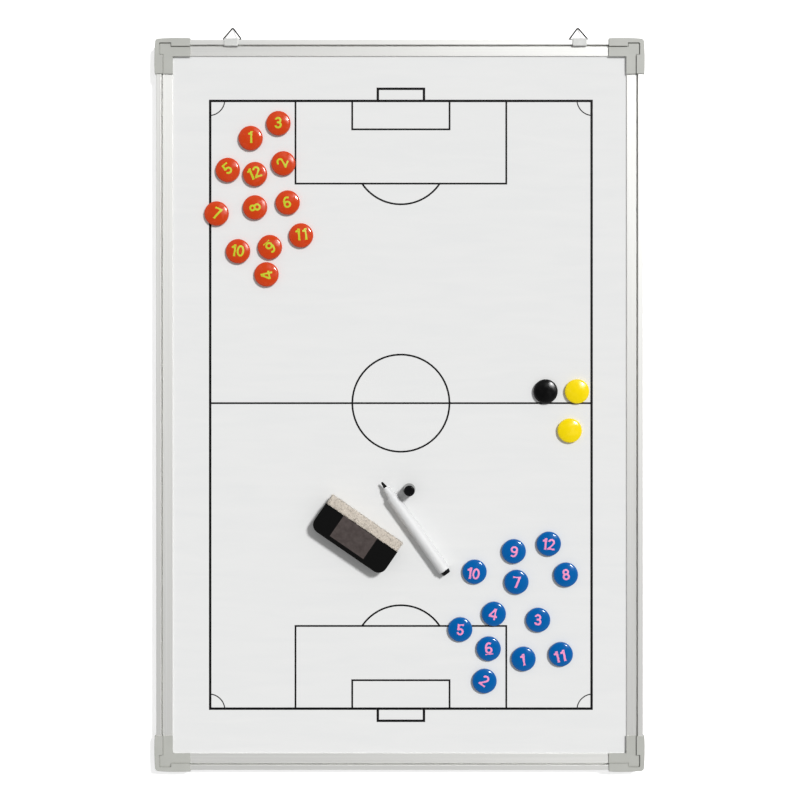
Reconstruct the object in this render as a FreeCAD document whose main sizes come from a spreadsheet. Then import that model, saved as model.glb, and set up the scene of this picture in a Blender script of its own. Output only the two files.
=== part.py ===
import FreeCAD, Part
import Sketcher
import math
import os
import re

# A football tactics board lying on its back, with its magnets, marker pen and eraser laid on it.
# Millimetres. The origin is the middle of the board in the plane that its corner pieces rest on.
# +X runs to the right of the board, +Y to the edge with the hanging loops, +Z out of its writing face.
# A place on a rail is given by how far in it lies from the rail's outer face and how high above its back.

SIZES = {
    # board and panel
    "board_width": 600.0,
    "board_height": 900.0,
    "writing_sheet_thickness": 0.5,
    "core_thickness": 10.2,
    "back_sheet_thickness": 0.3,
    "panel_play": 0.1,
    "panel_edge_gap": 0.3,
    # rail section
    "rail_width": 20.0,
    "rail_wall": 1.4,
    "rail_back_web": 1.8,
    "rail_chamber_width": 6.4,
    "rim_width": 6.4,
    "rim_rise": 2.0,
    "groove_width": 1.6,
    "groove_depth": 3.5,
    "back_groove_depth": 0.9,
    "bezel_edge": 1.5,
    "bezel_rise": 0.6,
    "rail_edge_round": 0.6,
    # corner pieces
    "corner_sleeve": 20.0,
    "corner_rail_gap": 2.0,
    "corner_front_wall": 1.3,
    "corner_rim_wall": 1.5,
    "corner_inner_lip": 0.4,
    "corner_fit_gap": 0.1,
    "corner_proud_at_arm": 1.6,
    "corner_proud_at_vertex": 0.8,
    "corner_bow_radius": 300.0,
    "corner_vertex_round": 4.0,
    "corner_edge_round": 0.7,
    "corner_square_inset": 3.8,
    "corner_square_side": 15.0,
    "corner_square_round": 2.0,
    "corner_line_width": 1.0,
    "corner_line_depth": 0.8,
    "tenon_length": 18.0,
    "tenon_gap": 0.2,
    # corner screws
    "screw_reach": 9.0,
    "screw_shank_diameter": 2.9,
    "screw_head_diameter": 5.2,
    "screw_head_sink": 0.2,
    "screw_length": 9.6,
    "screw_hole_gap": 0.05,
    "screw_recess_span": 2.6,
    "screw_recess_width": 0.6,
    "screw_recess_depth": 0.7,
    # hanger clips and wire loops
    "clip_width": 16.8,
    "clip_wall": 1.3,
    "clip_gap": 0.1,
    "clip_groove_gap": 0.4,
    "clip_floor_gap": 0.2,
    "clip_edge_round": 0.4,
    "left_clip_from_end": 92.4,
    "right_clip_from_end": 78.2,
    "knuckle_stand": 1.2,
    "knuckle_wall": 1.0,
    "knuckle_height": 6.0,
    "loop_wire_diameter": 1.8,
    "loop_pivot_gap": 0.05,
    "loop_pin_depth": 3.4,
    "loop_side_reach": 3.2,
    "loop_length": 16.8,
    "loop_apex_bend": 1.5,
    "loop_base_bend": 1.2,
    "loop_floor_gap": 0.1,
    # pitch print
    "ink_thickness": 0.1,
    "boundary_line": 3.0,
    "inner_line": 2.2,
    "corner_arc_line": 1.3,
    "pitch_side_margin": 63.0,
    "pitch_end_margin": 73.25,
    "pitch_off_centre": 1.6,
    "halfway_off_centre": 2.0,
    "penalty_area_width": 262.5,
    "penalty_area_depth": 104.7,
    "goal_area_width": 122.4,
    "goal_area_depth": 37.7,
    "goal_width": 60.0,
    "goal_depth": 18.0,
    "centre_circle_radius": 61.1,
    "penalty_arc_radius": 58.9,
    "penalty_arc_reach": 25.6,
    "corner_arc_radius": 20.2,
    # button magnets, in three groups placed from the board's edges
    "red_group_from_left": 129.3,
    "red_group_from_top": 198.0,
    "blue_group_from_right": 159.6,
    "blue_group_from_bottom": 195.6,
    "referee_group_from_right": 97.9,
    "lie_gap": 0.15,
    "magnet_diameter": 30.0,
    "magnet_height": 7.0,
    "magnet_dome_rise": 1.9,
    "magnet_edge_round": 3.4,
    "ferrite_diameter": 22.0,
    "ferrite_thickness": 4.0,
    "ferrite_gap": 0.05,
    # marker pen, measured along its axis from the end plug to the tip
    "pen_diameter": 15.2,
    "pen_wall": 1.4,
    "barrel_length": 111.0,
    "plug_length": 5.0,
    "plug_diameter": 12.4,
    "plug_end_diameter": 10.2,
    "spigot_length": 6.0,
    "spigot_gap": 0.05,
    "shoulder_length": 5.0,
    "neck_diameter": 9.2,
    "neck_length": 4.0,
    "nose_cone_length": 5.2,
    "nose_tip_diameter": 7.2,
    "nib_diameter": 4.6,
    "nib_tip_diameter": 2.4,
    "nib_collar": 0.8,
    "nib_length": 8.0,
    "nib_seat_depth": 3.0,
    "nib_gap": 0.05,
    "reservoir_diameter": 10.4,
    "pen_lie_gap": 0.3,
    "pen_angle": 125.4,
    "pen_from_right": 282.1,
    "pen_from_bottom": 298.7,
    # pen cap
    "cap_diameter": 15.2,
    "cap_top_diameter": 13.1,
    "cap_length": 30.0,
    "cap_mouth_gap": 0.1,
    "cap_mouth_clear": 1.0,
    "cap_end_wall": 3.0,
    "cap_edge_round": 1.0,
    "cap_dimple_diameter": 4.4,
    "cap_dimple_depth": 0.6,
    "cap_from_right": 288.2,
    "cap_from_bottom": 345.5,
    # eraser, lying on its long side
    "eraser_length": 106.0,
    "eraser_body_height": 35.4,
    "eraser_width": 18.5,
    "eraser_wall": 2.4,
    "eraser_corner_round": 11.0,
    "eraser_edge_round": 1.2,
    "felt_thickness": 12.6,
    "felt_inset": 0.9,
    "label_left_margin": 26.5,
    "label_right_margin": 29.8,
    "label_handle_margin": 5.3,
    "label_thickness": 0.4,
    "eraser_angle": -34.5,
    "eraser_from_right": 352.9,
    "eraser_from_bottom": 290.2,
}

# Sizes that follow from those above.
DERIVED = {
    "panel_thickness": "back_sheet_thickness + core_thickness + writing_sheet_thickness",
    "slot_ceiling": "rail_back_web + panel_thickness + panel_play",
    "bezel_top": "slot_ceiling + bezel_edge + bezel_rise",
    "rail_height": "bezel_top + rim_rise",
    "groove_end": "rim_width + groove_width",
    "groove_floor": "bezel_top - groove_depth",
    "chamber_end": "rail_wall + rail_chamber_width",
    "chamber_ceiling": "groove_floor - rail_wall",
    "slot_edge": "chamber_end + rail_wall",
    "panel_width": "board_width - 2 * (slot_edge + panel_edge_gap)",
    "panel_height": "board_height - 2 * (slot_edge + panel_edge_gap)",
    "panel_back": "corner_back_wall + rail_back_web",
    "sheet_top": "panel_back + panel_thickness",
    "corner_back_wall": "clip_wall + clip_gap + clip_floor_gap",
    "corner_block": "rail_width + corner_rail_gap",
    "corner_arm": "corner_block + corner_sleeve",
    "corner_inner": "rail_width + corner_inner_lip",
    "corner_low_top": "corner_back_wall + bezel_top + corner_fit_gap + corner_front_wall",
    "corner_rim_top": "corner_back_wall + rail_height + corner_fit_gap + corner_front_wall",
    "corner_rim_width": "rim_width + corner_fit_gap + corner_rim_wall",
    "corner_square_end": "corner_square_inset + corner_square_side",
    "screw_inset": "rail_wall + rail_chamber_width / 2",
    "screw_along": "corner_block + screw_reach",
    "screw_head_height": "(screw_head_diameter - screw_shank_diameter) / 2",
    "clip_lip_start": "rim_width + clip_gap",
    "clip_lip_end": "groove_end - clip_gap",
    "knuckle_radius": "loop_wire_diameter / 2 + loop_pivot_gap + knuckle_wall",
    "knuckle_out": "clip_gap + clip_wall + knuckle_stand",
    "left_clip_place": "left_clip_from_end - board_width / 2",
    "right_clip_place": "board_width / 2 - right_clip_from_end",
    "loop_half_base": "clip_width / 2 + loop_side_reach - loop_wire_diameter / 2",
    "pitch_width": "board_width - 2 * pitch_side_margin",
    "pitch_length": "board_height - 2 * pitch_end_margin",
    "dome_radius": "((magnet_diameter / 2) ^ 2 + magnet_dome_rise ^ 2) / (2 * magnet_dome_rise)",
    "barrel_bore": "pen_diameter / 2 - pen_wall",
    "spigot_radius": "barrel_bore - spigot_gap",
    "barrel_end": "plug_length + barrel_length",
    "shoulder_end": "barrel_end + shoulder_length",
    "neck_end": "shoulder_end + neck_length",
    "nose_end": "neck_end + nose_cone_length",
    "pen_length": "nose_end + nib_length",
    "reservoir_start": "plug_length + spigot_length",
    "reservoir_end": "barrel_end - spigot_length",
    "nib_back": "reservoir_end - nib_seat_depth",
    "cap_mouth_radius": "spigot_radius + cap_mouth_gap",
    "cap_mouth_depth": "shoulder_length + cap_mouth_clear",
    "cap_inner_radius": "neck_diameter / 2 + cap_mouth_gap",
    "eraser_height": "eraser_body_height + felt_thickness",
    "felt_seat": "eraser_height / 2 - felt_thickness",
    "label_length": "eraser_length - label_left_margin - label_right_margin",
    "label_drop": "eraser_body_height - label_handle_margin",
}

# Where each button lies: its group's middle, then how many magnet diameters to the right and up.
MAGNET_GROUPS = {
    "red": ("red_group_from_left - board_width / 2", "board_height / 2 - red_group_from_top"),
    "blue": ("board_width / 2 - blue_group_from_right", "blue_group_from_bottom - board_height / 2"),
    "referee": ("board_width / 2 - referee_group_from_right", "0"),
}
MAGNET_PLACES = {
    "red_magnet_01": ("red", -0.43, 2.56),
    "red_magnet_02": ("red", 0.91, 1.52),
    "red_magnet_03": ("red", 0.71, 3.17),
    "red_magnet_04": ("red", 0.22, -3.04),
    "red_magnet_05": ("red", -1.37, 1.25),
    "red_magnet_06": ("red", 0.36, -1.92),
    "red_magnet_07": ("red", -1.83, -0.54),
    "red_magnet_08": ("red", -0.25, -0.29),
    "red_magnet_09": ("red", 1.09, -0.09),
    "red_magnet_10": ("red", -0.95, -2.09),
    "red_magnet_11": ("red", 1.64, -1.44),
    "red_magnet_12": ("red", -0.25, 1.08),
    "blue_magnet_01": ("blue", 0.41, -1.96),
    "blue_magnet_02": ("blue", -1.19, -2.87),
    "blue_magnet_03": ("blue", 1.01, -0.36),
    "blue_magnet_04": ("blue", -0.81, -0.11),
    "blue_magnet_05": ("blue", -2.19, -0.75),
    "blue_magnet_06": ("blue", -1.02, -1.54),
    "blue_magnet_07": ("blue", 0.12, 1.20),
    "blue_magnet_08": ("blue", 2.15, 1.50),
    "blue_magnet_09": ("blue", 0.01, 2.46),
    "blue_magnet_10": ("blue", -1.60, 1.62),
    "blue_magnet_11": ("blue", 1.94, -1.77),
    "blue_magnet_12": ("blue", 1.45, 2.77),
    "black_magnet": ("referee", -0.74, 0.55),
    "yellow_magnet_1": ("referee", 0.55, 0.55),
    "yellow_magnet_2": ("referee", 0.25, -1.06),
}

# Each side of the board by the turn that carries the bottom rail, or the bottom left corner, to it.
RAIL_TURNS = {"rail_bottom": 0, "rail_right": 90, "rail_top": 180, "rail_left": 270}
CORNER_TURNS = {
    "corner_bottom_left": 0,
    "corner_bottom_right": 90,
    "corner_top_right": 180,
    "corner_top_left": 270,
}

doc = FreeCAD.newDocument("tactics_board")
sheet = doc.addObject("Spreadsheet::Sheet", "Sizes")
for row, (name, number) in enumerate(SIZES.items(), start=1):
    sheet.set(f"A{row}", name)
    sheet.set(f"B{row}", str(number))
    sheet.setAlias(f"B{row}", name)
doc.recompute()

pieces = []


def bound(text):
    """An expression on the sheet's cells, with the derived sizes written out."""

    def cell(match):
        word = match.group(0)
        if word in DERIVED:
            return "(" + bound(DERIVED[word]) + ")"
        if word in SIZES:
            return "Sizes." + word
        return word

    return re.sub(r"[a-z_]+", cell, text)


def size(text):
    """The number that an expression on the sheet gives."""
    return float(sheet.evalExpression(bound(text)))


def bind(item, **sizes):
    """Ties properties of an object to the sheet."""
    for name, text in sizes.items():
        item.setExpression(name, bound(text))


def move(item, across, up, high):
    """Ties the place of an object to the sheet."""
    for axis, text in zip("xyz", (across, up, high)):
        item.setExpression("Placement.Base." + axis, bound(text))


def finished(item, label):
    """Labels an object as one of the pieces that are written out."""
    item.Label = label
    pieces.append(item)
    return item


def new_body(name):
    return doc.addObject("PartDesign::Body", name)


def add_loop(sketch, corners):
    """A closed loop of edges, each corner held by its distances from the sketch's origin.

    A corner is (right, up) or (right, up, radius): with a radius, the edge that starts there is an
    arc that bulges to the right of the way round.
    """
    first = sketch.GeometryCount
    points = [FreeCAD.Vector(size(c[0]), size(c[1]), 0) for c in corners]
    for corner, here, there in zip(corners, points, points[1:] + points[:1]):
        if len(corner) == 2:
            sketch.addGeometry(Part.LineSegment(here, there))
        else:
            chord = there - here
            radius = size(corner[2])
            left = FreeCAD.Vector(-chord.y, chord.x, 0).normalize()
            depth = math.sqrt(radius**2 - (chord.Length / 2) ** 2)
            centre = (here + there) / 2 + left * depth
            circle = Part.Circle(centre, FreeCAD.Vector(0, 0, 1), radius)
            angles = [math.atan2(p.y - centre.y, p.x - centre.x) for p in (here, there)]
            sketch.addGeometry(Part.ArcOfCircle(circle, *angles))
    for i, corner in enumerate(corners):
        before = first + (i - 1) % len(corners)
        sketch.addConstraint(Sketcher.Constraint("Coincident", first + i, 1, before, 2))
        for kind, text in (("DistanceX", corner[0]), ("DistanceY", corner[1])):
            rule = Sketcher.Constraint(kind, -1, 1, first + i, 1, size(text))
            sketch.setExpression(f"Constraints[{sketch.addConstraint(rule)}]", bound(text))
        if len(corner) == 3:
            rule = Sketcher.Constraint("Radius", first + i, size(corner[2]))
            sketch.setExpression(f"Constraints[{sketch.addConstraint(rule)}]", bound(corner[2]))


def add_sketch(body, name, plane, *loops):
    """A sketch of closed loops on one of the body's own planes."""
    sketch = body.newObject("Sketcher::SketchObject", name)
    support = [f for f in body.Origin.OriginFeatures if f.Role == plane]
    sketch.AttachmentSupport = [(support[0], "")]
    sketch.MapMode = "FlatFace"
    for corners in loops:
        add_loop(sketch, corners)
    return sketch


def add_pad(body, name, sketch, length, midplane=False):
    pad = body.newObject("PartDesign::Pad", name)
    pad.Profile = sketch
    pad.Midplane = midplane
    bind(pad, Length=length)
    doc.recompute()
    return pad


def add_block(body, kind, name, low, high):
    """A box added to or cut from a body, between two corners given on the sheet."""
    block = body.newObject("PartDesign::" + kind, name)
    spans = [f"({top}) - ({bottom})" for bottom, top in zip(low, high)]
    bind(block, Length=spans[0], Width=spans[1], Height=spans[2])
    move(block, *low)
    return block


def add_hole(body, name, place, radius, depth):
    hole = body.newObject("PartDesign::SubtractiveCylinder", name)
    bind(hole, Radius=radius, Height=depth)
    move(hole, *place)
    return hole


def round_edges(body, name, radius, chosen):
    """Rounds the edges of the body's last shape that the test picks."""
    doc.recompute()
    base = body.Tip
    edges = [f"Edge{i}" for i, edge in enumerate(base.Shape.Edges, start=1) if chosen(edge)]
    rounding = body.newObject("PartDesign::Fillet", name)
    rounding.Base = (base, edges)
    bind(rounding, Radius=radius)
    doc.recompute()
    return rounding


def near(number, text):
    return abs(number - size(text)) < 0.01


def middle_of(edge):
    return edge.valueAt((edge.FirstParameter + edge.LastParameter) / 2)


def add_revolution(body, name, corners):
    """A turned piece: its half section, from the axis out and along it, spun about the body's Z axis."""
    sketch = add_sketch(body, name + "_section", "XZ_Plane", corners)
    turned = body.newObject("PartDesign::Revolution", name)
    turned.Profile = sketch
    turned.ReferenceAxis = (sketch, ["V_Axis"])
    turned.Angle = 360
    doc.recompute()
    return turned


def turned_piece(label, corners):
    body = new_body(label)
    add_revolution(body, label + "_turned", corners)
    return finished(body, label)


def turn_about_middle(item, degrees, across, up, high):
    """Sets a piece at a place on the board, then swings it about the board's middle."""
    swing = FreeCAD.Rotation(FreeCAD.Vector(0, 0, 1), degrees)
    place = FreeCAD.Vector(across, up, high)
    item.Placement = FreeCAD.Placement(swing.multVec(place), swing)


# Panel: a steel writing sheet and a thin back sheet glued to a stiff core board


def panel_layer(label, thickness, height):
    layer = finished(doc.addObject("Part::Box", label), label)
    bind(layer, Length="panel_width", Width="panel_height", Height=thickness)
    move(layer, "-panel_width / 2", "-panel_height / 2", height)


panel_layer("back_sheet", "back_sheet_thickness", "panel_back")
panel_layer("core_board", "core_thickness", "panel_back + back_sheet_thickness")
panel_layer(
    "writing_sheet", "writing_sheet_thickness", "panel_back + back_sheet_thickness + core_thickness"
)


# Pitch print: thin lines of ink on the writing sheet


def ink_box(name, left, bottom, width, length):
    box = doc.addObject("Part::Box", name)
    bind(box, Length=width, Width=length, Height="ink_thickness")
    move(box, left, bottom, "sheet_top")
    return box


def ink_frame(name, left, bottom, width, length, line):
    """The lines round a rectangle, drawn inside it."""
    outer = ink_box(name + "_outer", left, bottom, width, length)
    inner = ink_box(
        name + "_inner",
        f"{left} + {line}",
        f"{bottom} + {line}",
        f"{width} - 2 * {line}",
        f"{length} - 2 * {line}",
    )
    frame = doc.addObject("Part::Cut", name)
    frame.Base = outer
    frame.Tool = inner
    return frame


def ink_ring(name, across, up, radius, line):
    """A round line, its outer edge at the radius."""
    discs = []
    for edge, text in (("outer", radius), ("inner", f"{radius} - {line}")):
        disc = doc.addObject("Part::Cylinder", f"{name}_{edge}")
        bind(disc, Radius=text, Height="ink_thickness")
        move(disc, across, up, "sheet_top")
        discs.append(disc)
    ring = doc.addObject("Part::Cut", name)
    ring.Base, ring.Tool = discs
    return ring


def ink_part(name, line, window):
    """The part of a line that lies in a window."""
    part = doc.addObject("Part::Common", name)
    part.Base = line
    part.Tool = window
    return part


def pitch_lines():
    left = "pitch_off_centre - pitch_width / 2"
    bottom = "-pitch_length / 2"
    lines = [
        ink_frame("boundary", left, bottom, "pitch_width", "pitch_length", "boundary_line"),
        ink_box("halfway", left, "halfway_off_centre - inner_line / 2", "pitch_width", "inner_line"),
        ink_ring(
            "centre_circle", "pitch_off_centre", "halfway_off_centre", "centre_circle_radius", "inner_line"
        ),
    ]
    # the areas lie inside the goal line and the goal outside it; each shares that line's own width
    for end, side in (("near", -1), ("far", 1)):
        goal_line = f"{side} * pitch_length / 2"
        for area, outwards, line in (
            ("penalty_area", False, "inner_line"),
            ("goal_area", False, "inner_line"),
            ("goal", True, "boundary_line"),
        ):
            width = area + "_width"
            depth = area + "_depth"
            base = f"{goal_line} - {side} * {line}" if outwards else goal_line
            upwards = (side < 0) != outwards
            low = base if upwards else f"{base} - {depth}"
            start = f"pitch_off_centre - {width} / 2"
            lines.append(ink_frame(f"{end}_{area}", start, low, width, depth, line))
        area_line = f"{side} * (pitch_length / 2 - penalty_area_depth)"
        ring = ink_ring(
            end + "_arc_ring",
            "pitch_off_centre",
            f"{area_line} + {side} * (penalty_arc_radius - penalty_arc_reach)",
            "penalty_arc_radius",
            "inner_line",
        )
        low = area_line if side < 0 else f"{area_line} - penalty_arc_reach"
        window = ink_box(
            end + "_arc_window",
            "pitch_off_centre - penalty_arc_radius",
            low,
            "2 * penalty_arc_radius",
            "penalty_arc_reach",
        )
        lines.append(ink_part(end + "_arc", ring, window))
        for hand, way in (("left", -1), ("right", 1)):
            name = f"{end}_{hand}_corner"
            across = f"pitch_off_centre + {way} * pitch_width / 2"
            ring = ink_ring(name + "_ring", across, goal_line, "corner_arc_radius", "corner_arc_line")
            window = ink_box(
                name + "_window",
                across if way < 0 else f"{across} - corner_arc_radius",
                goal_line if side < 0 else f"{goal_line} - corner_arc_radius",
                "corner_arc_radius",
                "corner_arc_radius",
            )
            lines.append(ink_part(name, ring, window))
    return lines


pitch_print = finished(doc.addObject("Part::MultiFuse", "pitch_print"), "pitch_print")
pitch_print.Shapes = pitch_lines()


# Rails: extruded aluminium, with a hollow outer chamber and a slot that grips the panel


def rail(label, turn):
    body = new_body(label)
    lies_across = turn % 180 == 0
    along = "board_width" if lies_across else "board_height"
    depth = "board_height" if lies_across else "board_width"
    section = [
        ("0", "0"),
        ("rim_width", "0"),
        ("rim_width", "back_groove_depth"),
        ("groove_end", "back_groove_depth"),
        ("groove_end", "0"),
        ("rail_width", "0"),
        ("rail_width", "rail_back_web"),
        ("slot_edge", "rail_back_web"),
        ("slot_edge", "slot_ceiling"),
        ("rail_width", "slot_ceiling"),
        ("rail_width", "slot_ceiling + bezel_edge"),
        ("groove_end", "bezel_top"),
        ("groove_end", "groove_floor"),
        ("rim_width", "groove_floor"),
        ("rim_width", "rail_height"),
        ("0", "rail_height"),
    ]
    chamber = [
        ("rail_wall", "rail_back_web"),
        ("chamber_end", "rail_back_web"),
        ("chamber_end", "chamber_ceiling"),
        ("rim_width - rail_wall", "chamber_ceiling"),
        ("rim_width - rail_wall", "rail_height - rail_wall"),
        ("rail_wall", "rail_height - rail_wall"),
    ]
    sketch = add_sketch(body, label + "_section", "YZ_Plane", section, chamber)
    add_pad(body, label + "_extrusion", sketch, f"{along} - 2 * corner_block", midplane=True)

    def on_outside(edge):
        """The long edges that a hand meets: both of the rim, the back outer one and the bezel's."""
        spot = edge.CenterOfMass
        top_of_rim = near(spot.z, "rail_height") and (near(spot.y, "0") or near(spot.y, "rim_width"))
        back = near(spot.z, "0") and near(spot.y, "0")
        bezel = near(spot.z, "slot_ceiling + bezel_edge") and near(spot.y, "rail_width")
        return near(spot.x, "0") and (top_of_rim or back or bezel)

    round_edges(body, label + "_rounding", "rail_edge_round", on_outside)
    for end in (-1, 1):
        add_hole(
            body,
            f"{label}_screw_hole_{'left' if end < 0 else 'right'}",
            (f"{end} * ({along} / 2 - screw_along)", "screw_inset", "0"),
            "screw_shank_diameter / 2 + screw_hole_gap",
            "rail_back_web",
        )
    doc.recompute()
    turn_about_middle(body, turn, 0, -size(depth) / 2, size("corner_back_wall"))
    return finished(body, label)


for label, turn in RAIL_TURNS.items():
    rail(label, turn)


# Corner pieces: moulded sleeves that cover the rail ends, with a tenon into each rail's chamber


def corner(label, turn):
    """The bottom left piece, seen from the front, with its arms along X and Y from the rails' corner."""
    body = new_body(label)
    outer_side = [
        ("-corner_proud_at_arm", "corner_arm", "corner_bow_radius"),
        ("-corner_proud_at_vertex", "-corner_proud_at_vertex", "corner_bow_radius"),
        ("corner_arm", "-corner_proud_at_arm"),
    ]
    base = outer_side + [
        ("corner_arm", "corner_inner"),
        ("corner_inner", "corner_inner"),
        ("corner_inner", "corner_arm"),
    ]
    rim = outer_side + [
        ("corner_arm", "corner_rim_width"),
        ("corner_square_end", "corner_rim_width"),
        ("corner_square_end", "corner_square_inset"),
        ("corner_square_inset", "corner_square_inset"),
        ("corner_square_inset", "corner_square_end"),
        ("corner_rim_width", "corner_square_end"),
        ("corner_rim_width", "corner_arm"),
    ]
    add_pad(body, label + "_base", add_sketch(body, label + "_plan", "XY_Plane", base), "corner_low_top")
    rim_plan = add_sketch(body, label + "_rim_plan", "XY_Plane", rim)
    add_pad(body, label + "_rim", rim_plan, "corner_rim_top")

    def upright_at(text):
        def chosen(edge):
            spot = edge.CenterOfMass
            upright = abs(edge.tangentAt(edge.FirstParameter).z) > 0.99
            return upright and near(spot.x, text) and near(spot.y, text)

        return chosen

    round_edges(body, label + "_vertex", "corner_vertex_round", upright_at("-corner_proud_at_vertex"))
    round_edges(body, label + "_square", "corner_square_round", upright_at("corner_square_inset"))

    def outer_top(edge):
        spot = middle_of(edge)
        outside = min(spot.x, spot.y) < 0
        return outside and all(near(v.Z, "corner_rim_top") for v in edge.Vertexes)

    round_edges(body, label + "_top_edge", "corner_edge_round", outer_top)

    def arm_block(kind, name, inner, outer, along):
        """The same block in both arms: in from the outer face, then up, from one end to the other."""
        (near_in, near_up), (far_in, far_up) = inner, outer
        start, end = along
        add_block(body, kind, name + "_x", (start, near_in, near_up), (end, far_in, far_up))
        add_block(body, kind, name + "_y", (near_in, start, near_up), (far_in, end, far_up))

    sleeve = ("corner_block", "corner_arm + corner_proud_at_arm")
    arm_block(
        "SubtractiveBox",
        label + "_rim_sleeve",
        ("-corner_fit_gap", "corner_back_wall"),
        ("rim_width + corner_fit_gap", "corner_back_wall + rail_height + corner_fit_gap"),
        sleeve,
    )
    arm_block(
        "SubtractiveBox",
        label + "_bezel_sleeve",
        ("-corner_fit_gap", "corner_back_wall"),
        ("corner_inner + corner_inner_lip", "corner_back_wall + bezel_top + corner_fit_gap"),
        sleeve,
    )
    slot_low = ("slot_edge", "slot_edge", "panel_back")
    slot_high = ("corner_block", "corner_block", "corner_back_wall + slot_ceiling")
    add_block(body, "SubtractiveBox", label + "_panel_slot", slot_low, slot_high)
    # a fine line is sunk along the foot of the rim: in the arm, beside the square and across its end
    line_floor = "corner_low_top - corner_line_depth"
    line_start = "corner_square_end - corner_line_width"
    for name, inner, outer, along in (
        ("arm", "corner_rim_width", "corner_rim_width + corner_line_width", (line_start, "corner_arm")),
        (
            "square",
            "corner_square_inset",
            "corner_square_inset + corner_line_width",
            ("corner_square_inset", "corner_square_end"),
        ),
        ("step", "corner_square_inset", "corner_rim_width", (line_start, "corner_square_end")),
    ):
        arm_block(
            "SubtractiveBox",
            f"{label}_{name}_line",
            (inner, line_floor),
            (outer, "corner_low_top"),
            along,
        )
    arm_block(
        "AdditiveBox",
        label + "_tenon",
        ("rail_wall + tenon_gap", "panel_back + tenon_gap"),
        ("chamber_end - tenon_gap", "corner_back_wall + chamber_ceiling - tenon_gap"),
        ("corner_block - tenon_gap", "corner_block + tenon_length"),
    )
    for arm, place in (
        ("x", ("screw_along", "screw_inset", "0")),
        ("y", ("screw_inset", "screw_along", "0")),
    ):
        add_hole(
            body,
            f"{label}_screw_hole_{arm}",
            place,
            "screw_shank_diameter / 2 + screw_hole_gap",
            "screw_head_sink + screw_length + screw_hole_gap",
        )
        sink = body.newObject("PartDesign::SubtractiveCone", f"{label}_countersink_{arm}")
        bind(
            sink,
            Radius1="screw_head_diameter / 2 + screw_head_sink + screw_hole_gap",
            Radius2="screw_shank_diameter / 2 + screw_hole_gap",
            Height="screw_head_height + screw_head_sink",
        )
        move(sink, *place)
    doc.recompute()
    across = "board_width" if turn % 180 == 0 else "board_height"
    up = "board_height" if turn % 180 == 0 else "board_width"
    turn_about_middle(body, turn, -size(across) / 2, -size(up) / 2, 0)
    return finished(body, label)


for label, turn in CORNER_TURNS.items():
    corner(label, turn)


# Corner screws: countersunk, with a cross recess, two to a corner piece from behind


def corner_screw():
    body = new_body("corner_screw")
    add_revolution(
        body,
        "screw_turned",
        [
            ("0", "screw_head_sink"),
            ("screw_head_diameter / 2", "screw_head_sink"),
            ("screw_shank_diameter / 2", "screw_head_sink + screw_head_height"),
            ("screw_shank_diameter / 2", "screw_length - screw_shank_diameter / 2"),
            ("0", "screw_length + screw_head_sink"),
        ],
    )
    spans = ("screw_recess_span / 2", "screw_recess_width / 2")
    for name, (half_x, half_y) in (("across", spans), ("up", spans[::-1])):
        add_block(
            body,
            "SubtractiveBox",
            "screw_recess_" + name,
            (f"-{half_x}", f"-{half_y}", "0"),
            (half_x, half_y, "screw_head_sink + screw_recess_depth"),
        )
    doc.recompute()
    return body


def screw_places():
    """Where each screw stands: one in each arm of each corner piece."""
    half_width = size("board_width / 2")
    half_height = size("board_height / 2")
    along = size("screw_along")
    inset = size("screw_inset")
    for side in (-1, 1):
        for end in (-1, 1):
            for step_in, step_up in ((along, inset), (inset, along)):
                yield FreeCAD.Vector(side * (half_width - step_in), end * (half_height - step_up), 0)


screw_shape = corner_screw().Shape
corner_screws = finished(doc.addObject("Part::Feature", "corner_screws"), "corner_screws")
corner_screws.Shape = Part.makeCompound([screw_shape.translated(place) for place in screw_places()])


# Hanger clips: plastic clips that hook into the top rail's two grooves and slide along it


def hanger_clip(label, place):
    """Its section stands on the rail's own place: in from the outer face and up from the back."""
    body = new_body(label)
    outside = "-clip_gap - clip_wall"
    section = [
        (outside, "-clip_gap - clip_wall"),
        ("clip_lip_end", "-clip_gap - clip_wall"),
        ("clip_lip_end", "back_groove_depth - clip_groove_gap"),
        ("clip_lip_start", "back_groove_depth - clip_groove_gap"),
        ("clip_lip_start", "-clip_gap"),
        ("-clip_gap", "-clip_gap"),
        ("-clip_gap", "rail_height + clip_gap"),
        ("clip_lip_start", "rail_height + clip_gap"),
        ("clip_lip_start", "groove_floor + clip_groove_gap"),
        ("clip_lip_end", "groove_floor + clip_groove_gap"),
        ("clip_lip_end", "rail_height + clip_gap + clip_wall"),
        (outside, "rail_height + clip_gap + clip_wall"),
    ]
    sketch = add_sketch(body, label + "_section", "YZ_Plane", section)
    add_pad(body, label + "_extrusion", sketch, "clip_width", midplane=True)

    def outside_edge(edge):
        """Every edge of the clip's front, back and outer faces that shows."""
        spot = edge.CenterOfMass
        front = near(spot.z, "rail_height + clip_gap + clip_wall")
        back = near(spot.z, "-clip_gap - clip_wall")
        return front or back or near(spot.y, outside)

    round_edges(body, label + "_rounding", "clip_edge_round", outside_edge)
    for kind, name, radius in (
        ("AdditiveCylinder", "knuckle", "knuckle_radius"),
        ("SubtractiveCylinder", "knuckle_bore", "loop_wire_diameter / 2 + loop_pivot_gap"),
    ):
        round_bar = body.newObject("PartDesign::" + kind, f"{label}_{name}")
        bind(round_bar, Radius=radius, Height="clip_width")
        round_bar.Placement.Rotation = FreeCAD.Rotation(FreeCAD.Vector(0, 1, 0), 90)
        move(round_bar, "-clip_width / 2", "-knuckle_out", "knuckle_height")
    doc.recompute()
    turn_about_middle(body, 180, -size(place), -size("board_height") / 2, size("corner_back_wall"))
    return finished(body, label)


# Wire loops: one bent spring wire in each clip, its two ends turned in as pivots


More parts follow.
